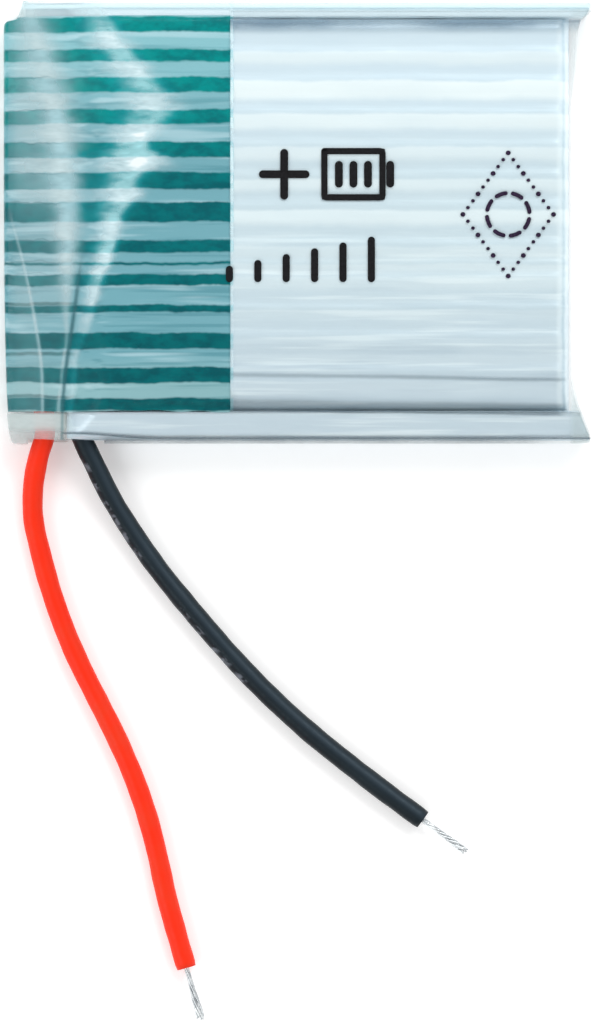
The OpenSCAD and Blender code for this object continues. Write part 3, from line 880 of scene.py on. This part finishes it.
def film_material():
    """Clear film. Its alpha gives its milkiness, or the painted shade it lays on what is under it."""
    t = Material("clear_wrap_film")
    x, y, z = t.x, t.y, t.z
    mask = t.group(TEAL_STRIPES, swayed_y(t, STRIPE_SWAY))
    gaps = 1.0 - mask
    on_top = z.ramp(2.2, 2.8)
    taped = x.ramp(-3.85, -3.95)
    bare = 1.0 - taped
    cloud = t.noise(t.scaled(420.0, 900.0, 1.0, (5.0, 1.0, 0.0)), 1.0, 3.0, 0.55)
    ragged = t.noise(t.scaled(260.0, 700.0, 1.0), 1.0, 3.0, 0.55)
    fine = t.noise(t.scaled(700.0, 2600.0, 1.0, (1.0, 4.0, 0.0)), 1.0, 2.0, 0.55)

    # The creased patch, sharper on its right and weaker on the dark stripes; milky, and partly a
    # painted reflection of the light off the curved shoulder
    centre, half, strength = traced(t, HAZE)
    wander = (ragged - 0.5 + (fine - 0.5) * 0.25) * (half * (gaps + 1.5))
    away = (x + wander - centre) / half
    away = away * away.step(-0.3, 0.3, 0.66, 1.3)
    patch = away.bell() * strength
    patch = patch * (cloud.step(0.25, 0.6, 0.72, 1.04) * fine.step(0.32, 0.66, 0.84, 1.03))
    patch = patch * (1.0 - mask * y.ramp(-6.0, -2.0, 0.6, 0.24))

    # The soft ridge and the thin veil left of it, then the sharp crease and the nose
    ridge = traced(t, RIDGE)
    veil = soft_line(x + (cloud - 0.5) * (ridge[1] * 1.5), ridge)
    left = (x - ridge[0]).ramp(0.5, -0.4)
    thin = y.curve(*FILM_ENDS, [(a * MM, b) for a, b in VEIL])
    thin = thin * left * (gaps * 0.35 + 0.8)
    veil = over(veil * cloud.step(0.25, 0.62, 0.8, 1.05), thin)
    crease = traced(t, CREASE)
    beyond = (x - crease[0]).ramp(0.05, -0.15) * y.ramp(0.0, -4.0, 0.0, 0.12)
    nose = x.ramp(-16.55, -17.05, 0.0, 0.42)
    veil = over(over(veil, beyond), over(soft_line(x, crease), nose))
    veil = veil * fine.step(0.3, 0.65, 0.88, 1.0)

    # Painted highlights: the pale strip at the tape's edge, and the light along the far fold
    strip = band(x, -3.82, 0.09, 0.05) * cloud.step(0.4, 0.62, 0.25, 0.8)
    strip = strip * y.ramp(-6.0, 7.0, 0.4, 1.0) * y.ramp(-11.2, -10.9)
    rim_light = band(y, 12.62, 0.12, 0.07) * 0.72
    bright = highest(patch, strip, rim_light)
    # Milky film together with the painted highlights
    milk_and_highlights = over(bright, veil) * on_top

    # The ears at the free end, the near corner with the leads, and the notch in the far corner
    ears = x.ramp(15.85, 16.35) * y.ramp(-9.2, -11.6, 0.2, 0.44) * y.ramp(12.7, 12.3, 0.35, 1.0)
    notch = y.ramp(11.9, 12.05) * x.ramp(-15.65, -15.95, 0.0, 0.75)
    corner = y.ramp(-11.05, -11.35) * x.ramp(-13.3, -13.7)
    corner = corner * (cloud.step(0.3, 0.7, 0.8, 0.92) * y.ramp(-12.45, -11.9, 0.5, 1.0))
    milk_and_highlights = highest(milk_and_highlights, ears, corner, notch)

    # Painted shade: thin dark lines left of the ridge, and the one beside its lower part
    lines = t.group(EDGE_LINES, swayed_y(t, 0.8, 520.0, 90.0)) * left
    lines = lines * y.ramp(-5.0, 0.5, 0.12, 0.55)
    painted_teal_shade = highest(lines, soft_line(x, traced(t, DARK_LINE))) * on_top

    # Shade in the groove, at the shoulder and at the far seal; the groove runs a little aslant
    groove_y = y + (x - -3.35 * MM) * 0.014 + (ragged - 0.5) * (0.16 * MM)
    groove = groove_y.ramp(-11.18, -11.05) * groove_y.ramp(-10.3, -10.62, 0.0, 0.36)
    groove = groove + band(groove_y, -11.02, 0.05, 0.07) * 0.16
    groove = groove * x.ramp(15.9, 15.1, 0.15, 1.0)
    shoulder = band(groove_y, -8.98, 0.07, 0.13) * x.ramp(0.0, 14.0, 0.24, 0.34)
    shoulder = shoulder * x.ramp(16.0, 15.4)
    broken = t.noise(t.scaled(150.0, 60.0, 1.0, (0.0, 3.0, 0.0)), 1.0, 2.0)
    broken = broken.step(0.35, 0.65, 0.55, 1.0)
    edge = band(y, 11.7, 0.06, 0.09) * 0.58 * broken
    ridge_line = band(y, 12.3, 0.03, 0.06) * 0.26
    grey = highest(groove, shoulder, edge, ridge_line) * bare * on_top

    # Painted shade along the film's fold at the near side, and the blue shade under the far seal
    low_y = y + x.ramp(-8.0, -13.5, 0.0, -0.3 * MM)
    fold = band(low_y, -12.68, 0.05, 0.06) * x.ramp(-13.9, -13.5)
    hem = y.ramp(-12.7, -12.8) * x.ramp(15.6, 12.5, 0.1, 0.52) * x.ramp(-13.9, -13.3)
    fold = highest(fold * 0.84, hem * cloud.step(0.3, 0.7, 0.85, 1.1))
    grey = highest(grey, fold * z.ramp(1.8, 2.15))
    blue = y.ramp(10.85, 11.65) * y.ramp(11.88, 11.76) * (broken * 0.8) * bare * on_top

    # Alpha; each wall of the film has two faces, hence the square root
    facing = t.new("ShaderNodeLayerWeight", {"Blend": 0.35}).outputs["Facing"]
    # rim: the film painted more milky where it is seen edge-on, a painted reflection
    rim = t.math("POWER", facing, 3.0) * 0.3
    shade = over(painted_teal_shade, grey, blue)
    whole = over(highest(milk_and_highlights + 0.006, rim), shade)
    whole = t.math("MINIMUM", whole, 0.97)
    t.set("Alpha", 1.0 - t.math("SQRT", 1.0 - whole))

    # Colour of the milky places, of the shaded ones, and the two mixed by their shares
    over_dark = t.colour(veil.step(0.1, 0.65), THIN_CYAN, MILKY_DARK)
    colour = t.colour(mask, VEIL_PALE, over_dark)
    colour = t.colour(taped, MILKY_PALE, colour)
    white = t.colour(mask * taped, HAZE_PALE, HAZE_CYAN)
    white = t.colour(mask * bright.step(0.6, 0.15), white, THIN_CYAN)
    white = t.colour(bright.step(0.78, 0.98), white, HAZE_WHITE)
    colour = t.colour((bright - veil).step(-0.25, 0.25), colour, white)
    colour = t.colour(t.math("GREATER_THAN", corner, 0.05), colour, CORNER_FILM)
    colour = t.colour((ears - bright).step(-0.05, 0.05), colour, EAR_FILM)
    tint = t.colour((painted_teal_shade - grey).step(-0.05, 0.05), GAP_SHADE, TEAL_SHADE)
    tint = t.colour((blue - grey).step(-0.1, 0.3), tint, SHADE_BLUE)
    share = t.math("DIVIDE", shade, highest(whole, 0.01), clamp=True)
    t.set("Base Color", t.colour(share, colour, tint))
    t.set("Roughness", cloud.step(0.3, 0.7, 0.12, 0.22))
    t.set("Specular IOR Level", 0.32)
    t.set("Normal", t.bump(drawn_lines(t, 3400.0) + cloud * 0.6, 0.25, 0.00003))
    return t.material


TEAL = teal_material()
FOIL = foil_material("laminate_face", True)
FOIL_PLAIN = foil_material("laminate_plain", False)
FILM = film_material()


def thicken(piece, thickness):
    """Gives a sheet its thickness in mm, inwards."""
    modifier = piece.modifiers.new("thickness", "SOLIDIFY")
    modifier.thickness = thickness * MM
    modifier.offset = -1.0
    modifier.use_rim = True


# ---- foil pouch
POCKET_LOW = np.array([-12.2, -11.85, 0.215])
POCKET_HIGH = np.array([16.0, 12.15, 4.0])
POCKET_SECTION = [
    (-11.85, -3.0), (-11.85, 0.32), (-11.75, 1.31), (-11.3, 2.6), (-10.85, 3.3), (-10.2, 3.62),
    (-9.65, 3.9), (-9.3, 4.0), (11.1, 4.0), (11.6, 3.9), (11.9, 3.5), (12.05, 2.8),
    (12.15, 0.32), (12.15, -3.0),
]
POCKET_PROFILE = [
    (-12.2, -3.0), (-12.2, 0.2), (-12.05, 2.5), (-11.6, 3.1), (-10.4, 3.62), (-9.0, 3.86),
    (-4.2, 3.93), (-3.5, 4.05), (14.6, 4.05), (15.4, 3.9), (15.75, 3.6), (15.95, 3.0),
    (16.0, 0.2), (16.0, -3.0),
]
pocket_section = Field(POCKET_SECTION, (-14.0, -1.5), (14.0, 5.5), 0.06)
pocket_profile = Field(POCKET_PROFILE, (-14.0, -1.5), (18.0, 5.5), 0.06)


def pocket_value(p):
    """About the distance from the drawn pocket's surface, negative inside (mm)."""
    value = soft_max(pocket_section(p[:, 1], p[:, 2]), pocket_profile(p[:, 0], p[:, 2]), 0.2)
    return np.maximum(value, POCKET_LOW[2] - p[:, 2])


def slab(low, high, nx, ny, nz=1):
    """The skin of a box between two corners (mm), as fine grids."""
    points, faces = box_skin(nx, ny, nz, ("-x", "+x", "-y", "+y", "-z", "+z"))
    low, high = np.array(low), np.array(high)
    return low + (points - BOX_LOW) / (BOX_HIGH - BOX_LOW) * (high - low), faces


box, faces = slab(POCKET_LOW, POCKET_HIGH, 110, 168, 14)
core = np.clip(box, POCKET_LOW + CORE, POCKET_HIGH - CORE)
way = unit(box - core)
points = cast(core, way, 0.0, pocket_value)
# The foil has no groove of its own: the groove is between the pocket and the folded seal
off_groove = np.abs(points[:, 1] + 10.2) > 1.0
points += way * (relief(points, 0.075, 0.012) * off_groove)[:, None]
crumple = sway(points[:, 1] * 2.1, points[:, 2] * 3)
end_face = smooth(15.0, 16.0, points[:, 0]) * smooth(0.3, 1.2, points[:, 2])
points[:, 0] -= 0.1 * end_face * (0.5 + 0.5 * crumple)
pouch_foil = add_mesh("pouch_foil", points * MM, faces, FOIL)
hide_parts("pouch_cup")


def joined(parts):
    vertices, faces = [], []
    for points, part_faces in parts:
        start = len(vertices)
        vertices += [tuple(p) for p in points]
        faces += [tuple(start + i for i in f) for f in part_faces]
    return np.array(vertices), faces


base_sheet = slab((-15.9, -11.85, 0.155), (16.0, 12.1, 0.211), 64, 48)
terrace_sheet = slab((-16.0, -11.85, 0.212), (-12.15, 12.15, 0.32), 8, 48)
points, faces = joined([base_sheet, terrace_sheet])
pouch_base = add_mesh("pouch_base", points * MM, faces, FOIL_PLAIN, False)
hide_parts("pouch_cover")

# Where the side seals end in X, by Y; then their sections, from the pouch's foot up and inwards
END_X = [
    (-13.05, 17.2), (-12.5, 17.15), (-11.6, 16.75), (-10.65, 16.45), (-9.05, 16.1), (9.85, 16.1),
    (11.25, 16.2), (12.35, 17.15), (12.95, 17.2),
]
NEAR_FOLD = [
    (-11.9, 0.22), (-12.25, 0.24), (-12.6, 0.5), (-12.7, 1.0), (-12.7, 2.15), (-12.42, 2.74),
    (-11.75, 3.03), (-11.12, 3.3),
]
FAR_FOLD = [
    (12.2, 0.22), (12.4, 0.24), (12.68, 0.45), (12.71, 1.4), (12.71, 2.85), (12.42, 3.3),
    (11.93, 3.62),
]
SEAL_COLUMNS = 120
SEAL_HALF = 0.1


def folded_seal(name, fold, x_start, x_start_high, seed):
    """A side seal folded up against the pouch: two sheets of laminate, a little wavy."""
    line = catmull([(0.0, y, z) for y, z in fold], 0.22)[:, 1:]
    local = np.random.default_rng(seed)
    phases = local.random(4) * 6.28
    tangent = unit(np.gradient(line, axis=0))
    normal = np.stack([-tangent[:, 1], tangent[:, 0]], 1)
    height = np.linspace(0.0, 1.0, len(line))
    starts = np.interp(line[:, 1], [1.9, 2.5], [x_start, x_start_high])
    vertices = []
    for side in (1, -1):
        for s in np.linspace(0.0, 1.0, SEAL_COLUMNS + 1):
            wobble = sum(math.sin(2 * math.pi * (k * 3 + 2) * s + phases[k]) for k in range(4)) / 4
            bend = 0.035 * wobble * height ** 2
            yz = line + normal * (side * SEAL_HALF + bend)[:, None]
            x_end = np.interp(yz[:, 0], *zip(*END_X)) - 0.04
            x = starts + (x_end - starts) * s
            ceiling = np.interp(x, [-16.4, -13.2, -12.2, -11.4, -10.6], [2.4, 2.65, 3.12, 3.58, 4.0])
            yz[:, 1] = np.minimum(yz[:, 1], ceiling + 0.02 * side)
            vertices += [(a, *b) for a, b in zip(x, yz)]
    faces = slab_faces(SEAL_COLUMNS + 1, len(line))
    return add_mesh(name, np.array(vertices) * MM, faces, FOIL_PLAIN)


folded_seal("near_seal", NEAR_FOLD, -10.8, -13.5, 21)
folded_seal("far_seal", FAR_FOLD, -15.98, -15.98, 22)

# ---- teal tape
TAPE_RIGHT = -3.9
TAPE_NEAR, TAPE_FAR = -11.1, 12.06
NOSE_X, NOSE_Z = -15.6, 1.35
TAPE_OUT = 0.048
TAPE_COLUMNS = 170
# Rays that the tape is cast along, round the pack from its face over the nose to the underside:
# where each starts in X, and its way in X and Z
top_x = np.linspace(TAPE_RIGHT, NOSE_X, 66)
nose_angles = np.radians(np.linspace(90.0, 270.0, 41))[1:-1]
rays = [(x, 0.0, 1.0) for x in top_x]
rays += [(NOSE_X, math.cos(angle), math.sin(angle)) for angle in nose_angles]
rays += [(x, 0.0, -1.0) for x in top_x[::-1]]
across = np.linspace(0.0, 1.0, TAPE_COLUMNS)
level = np.full(TAPE_COLUMNS, 1.0)
core, way = [], []
for x, dx, dz in rays:
    near_edge = TAPE_NEAR + 0.13 * float(sway(np.array([x * 2.0]), np.array([0.0]))[0])
    y = near_edge + (TAPE_FAR - near_edge) * across
    core.append(np.stack([level * x, y, level * NOSE_Z], 1))
    way.append(np.stack([level * dx, level * 0.0, level * dz], 1))
core, way = np.concatenate(core), np.concatenate(way)
points = cast(core, way, TAPE_OUT)
points += way * relief(points, 0.055, 0.01)[:, None]
faces = grid_faces(len(rays), TAPE_COLUMNS)
teal_band = add_mesh("teal_band", points * MM, faces, TEAL)
thicken(teal_band, 0.034)
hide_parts("teal_tape")

# ---- clear wrap
FILM_OUT = 0.098
FILM_RIBS, FILM_FINE = 0.03, 0.014
box, faces = box_skin(118, 158, 12, ("-x", "-y", "+y", "-z", "+z"))
points, way = to_form(box, FILM_OUT + 0.025 * smooth(-15.0, -16.2, box[:, 0]))
points += way * relief(points, FILM_RIBS, FILM_FINE)[:, None]
points = flare(points)
clear_film = add_mesh("clear_film", points * MM, faces, FILM)
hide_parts("clear_wrap")

OPENING_X = (-15.8, -11.3)
OPENING_Z = (0.5, 2.68)
OPENING_Y = -12.45


def cut_opening(piece):
    """Cuts the mouth that the leads leave by: a slot in the film's near side."""
    shape = bmesh.new()
    shape.from_mesh(piece.data)

    def near():
        faces = [f for f in shape.faces if f.calc_center_median().y < OPENING_Y * MM]
        edges = {e for f in faces for e in f.edges}
        return faces + list(edges) + list({v for f in faces for v in f.verts})

    for axis, values in ((0, OPENING_X), (2, OPENING_Z)):
        for value in values:
            centre, normal = [0.0, 0.0, 0.0], [0.0, 0.0, 0.0]
            centre[axis], normal[axis] = value * MM, 1.0
            bmesh.ops.bisect_plane(shape, geom=near(), plane_co=centre, plane_no=normal)
    gone = []
    for f in shape.faces:
        x, y, z = f.calc_center_median() / MM
        if y < OPENING_Y and OPENING_X[0] < x < OPENING_X[1] and OPENING_Z[0] < z < OPENING_Z[1]:
            gone.append(f)
    bmesh.ops.delete(shape, geom=gone, context="FACES")
    shape.to_mesh(piece.data)
    shape.free()
    piece.data.shade_smooth()


cut_opening(clear_film)
thicken(clear_film, 0.04)


# ---- print marks
def face_height(x, y):
    """How high the film's face is, in mm."""
    core = np.stack([x, y, np.full_like(x, 2.5)], 1)
    p = cast(core, np.tile([0.0, 0.0, 1.0], (len(x), 1)), FILM_OUT)
    return p[:, 2] + relief(p, FILM_RIBS, FILM_FINE)


def stroke_outline(points, width):
    """Centres, half widths and directions along a round-ended stroke (mm)."""
    fine = [np.array(points[0], float)]
    for a, b in zip(points, points[1:]):
        a, b = np.array(a, float), np.array(b, float)
        count = max(1, int(np.linalg.norm(b - a) / 0.14))
        fine += [a + (b - a) * (i + 1) / count for i in range(count)]
    fine = np.array(fine)
    if len(fine) == 1:
        fine = np.array([fine[0] - (0.01, 0.0), fine[0] + (0.01, 0.0)])
    steps = unit(np.diff(fine, axis=0))
    tangents = unit(np.vstack([steps[0], steps[:-1] + steps[1:], steps[-1]]))
    half = width / 2
    turn = np.radians([12, 30, 48, 66, 84])
    out = (half * np.sin(turn))[:, None]
    cap = half * np.cos(turn)
    centres = np.vstack([fine[0] - steps[0] * out[::-1], fine, fine[-1] + steps[-1] * out])
    halves = np.concatenate([cap[::-1], np.full(len(fine), half), cap])
    ways = np.vstack([[steps[0]] * len(turn), tangents, [steps[-1]] * len(turn)])
    return centres, halves, ways


INK_LIFT, INK_SINK = 0.01, 0.02


def marks(name, strokes, material):
    """Strokes of thin raised ink that follow the film's face."""
    vertices, faces = [], []
    for points, width in strokes:
        centres, halves, ways = stroke_outline(points, width)
        left = np.stack([-ways[:, 1], ways[:, 0]], 1)
        rows = [centres + left * (halves * share)[:, None] for share in (-1.0, -0.5, 0.0, 0.5, 1.0)]
        xy = np.stack(rows, 1).reshape(-1, 2)
        z = face_height(xy[:, 0], xy[:, 1])
        faces += slab_faces(len(centres), len(rows), len(vertices))
        for rise in (INK_LIFT, -INK_SINK):
            vertices += [(a, b, c + rise) for (a, b), c in zip(xy, z)]
    return add_mesh(name, np.array(vertices) * MM, faces, material, False)


def ink_material(name, base, shade):
    t = Material(name)
    spots = t.noise(t.object, 9000.0, 2.0)
    t.set("Base Color", t.colour(spots.step(0.3, 0.7), base, shade))
    t.set("Roughness", spots.step(0.3, 0.7, 0.55, 0.75))
    t.set("Specular IOR Level", 0.15)
    t.set("Normal", t.bump(spots, 0.2, 0.00001))
    return t.material


INK = ink_material("black_ink", (0.003, 0.003, 0.004), (0.01, 0.01, 0.012))
DOT_INK = ink_material("dotted_ink", (0.012, 0.006, 0.022), (0.035, 0.018, 0.05))

STROKE = 0.46
THIN_STROKE = STROKE * 0.8
POLARITY = [
    ([(-2.0, 2.75), (0.5, 2.75)], STROKE),
    ([(-0.75, 4.0), (-0.75, 1.5)], STROKE),
    ([(1.6, 4.1), (5.0, 4.1), (5.0, 1.4), (1.6, 1.4), (1.6, 4.1)], THIN_STROKE),
]
POLARITY += [([(x, 3.3), (x, 2.2)], STROKE) for x in (5.45, 2.45, 3.3, 4.15)]
GAUGE = []
for i in range(6):
    x = -3.95 + 1.66 * i
    GAUGE.append(([(x, -3.35), (x, -3.15 + 0.34 * (i + 1))], 0.42))
marks("polarity_mark", POLARITY, INK)
marks("gauge_mark", GAUGE, INK)
RING_X, RING_Y, RING_R = 12.35, 0.4, 1.25
DIAMOND = [(RING_X, 4.0), (15.0, RING_Y), (RING_X, -3.2), (9.7, RING_Y), (RING_X, 4.0)]
dots = []
for a, b in zip(DIAMOND, DIAMOND[1:]):
    a, b = np.array(a), np.array(b)
    for i in range(9):
        c = a + (b - a) * i / 9
        dots.append(([c], 0.2 if i % 3 else 0.27))
dashes = []
for k in range(8):
    turns = np.linspace(2 * math.pi * (k + 0.15) / 8, 2 * math.pi * (k + 0.72) / 8, 4)
    arc = [(RING_X + RING_R * math.cos(a), RING_Y + RING_R * math.sin(a)) for a in turns]
    dashes.append((arc, 0.24))
marks("diamond_mark", dots + dashes, DOT_INK)


# ---- the CAD nodes that show
def plain_material(name, base, shade, metallic, rough, scale, bump):
    t = Material(name)
    cloudy = t.noise(t.object, scale, 3.0)
    t.set("Base Color", t.colour(cloudy.step(0.3, 0.7), base, shade))
    t.set("Metallic", metallic)
    t.set("Roughness", cloudy.step(0.3, 0.7, rough - 0.06, rough + 0.08))
    t.set("Normal", t.bump(cloudy, 0.3, bump))
    return t.material


# By slot: two colours, metallic, roughness, scale of the mottling and height of the bump (m)
INNER = {
    "cathode_coating": ((0.1, 0.1, 0.11), (0.14, 0.14, 0.15), 0.0, 0.75, 3000.0, 0.00002),
    "anode_coating": ((0.05, 0.05, 0.055), (0.08, 0.08, 0.085), 0.0, 0.8, 3400.0, 0.00002),
    "separator_film": ((0.86, 0.86, 0.86), (0.93, 0.93, 0.93), 0.0, 0.5, 900.0, 0.00001),
    "cell_tape": ((0.62, 0.68, 0.24), (0.72, 0.78, 0.34), 0.0, 0.3, 700.0, 0.00001),
    "polyimide": ((0.55, 0.21, 0.02), (0.68, 0.3, 0.04), 0.0, 0.22, 800.0, 0.00001),
    "aluminium_tab": ((0.72, 0.73, 0.74), (0.84, 0.85, 0.86), 0.95, 0.32, 1500.0, 0.00001),
    "nickel": ((0.56, 0.54, 0.5), (0.7, 0.67, 0.62), 0.95, 0.3, 1500.0, 0.00001),
    "seal_film": ((0.78, 0.78, 0.72), (0.88, 0.88, 0.82), 0.0, 0.45, 900.0, 0.00001),
    "insulating_paper": ((0.55, 0.46, 0.3), (0.66, 0.57, 0.39), 0.0, 0.8, 4000.0, 0.00003),
    "board": ((0.015, 0.16, 0.07), (0.03, 0.24, 0.11), 0.0, 0.35, 2600.0, 0.00001),
    "chip_case": ((0.02, 0.02, 0.022), (0.035, 0.035, 0.038), 0.0, 0.6, 5000.0, 0.00002),
    "chip_ceramic": ((0.36, 0.25, 0.15), (0.46, 0.33, 0.21), 0.0, 0.55, 5000.0, 0.00001),
    "solder": ((0.6, 0.61, 0.63), (0.76, 0.77, 0.78), 0.95, 0.25, 1800.0, 0.00002),
    "tinned_copper": ((0.55, 0.57, 0.58), (0.78, 0.8, 0.81), 0.9, 0.3, 1900.0, 0.00001),
}
inner_materials = {slot: plain_material(slot, *look) for slot, look in INNER.items()}
slot_of = {row["node"]: row["material_slot"] for row in frame["record"]["subparts"]}
for name, node in nodes.items():
    if slot_of.get(name) in inner_materials and not node.hide_render:
        for holder in node.material_slots:
            holder.material = inner_materials[slot_of[name]]


# ---- floor and light
FLOOR_HALF = 4.0
FLOOR_Z = -0.00004
floor_mesh = bpy.data.meshes.new("floor")
corners = ((-1, -1), (1, -1), (1, 1), (-1, 1))
floor_mesh.from_pydata([(a * FLOOR_HALF, b * FLOOR_HALF, FLOOR_Z) for a, b in corners], [],
                       [(0, 1, 2, 3)])
floor = bpy.data.objects.new("floor", floor_mesh)
bpy.context.scene.collection.objects.link(floor)
pale = Material("pale_floor")
pale.set("Base Color", (0.92, 0.92, 0.92))
pale.set("Roughness", 0.9)
pale.set("Specular IOR Level", 0.0)
pale.set("Emission Color", (1.0, 1.0, 1.0))
pale.set("Emission Strength", 0.22)
floor_mesh.materials.append(pale.material)

world = bpy.data.worlds.new("studio")
bpy.context.scene.world = world
world.use_nodes = True
# A white sky that is dimmer straight above
sky = Nodes(world.node_tree)
height = sky.split(sky.new("ShaderNodeTexCoord").outputs["Generated"])[2]
light = {"Color": (1.0, 1.0, 1.0), "Strength": height.step(0.45, 0.98, 1.0, 0.45)}
background = sky.new("ShaderNodeBackground", light)
sky.new("ShaderNodeOutputWorld", {"Surface": background.outputs[0]})


def softbox(name, place, target, width, height, power):
    light = bpy.data.lights.new(name, "AREA")
    light.shape = "RECTANGLE"
    light.size = width
    light.size_y = height
    light.energy = power
    lamp = bpy.data.objects.new(name, light)
    lamp.location = place
    lamp.rotation_mode = "QUATERNION"
    lamp.rotation_quaternion = (Vector(target) - Vector(place)).to_track_quat("-Z", "Y")
    bpy.context.scene.collection.objects.link(lamp)


softbox("key", (0.25, 0.55, 0.6), (0.0, VIEW_Y, 0.0), 0.55, 0.35, 3.2)
softbox("fill", (-0.5, -0.3, 0.55), (0.0, VIEW_Y, 0.0), 0.45, 0.45, 1.6)

scene = bpy.context.scene
scene.view_settings.view_transform = "Standard"
scene.view_settings.look = "None"
scene.view_settings.exposure = 0.0
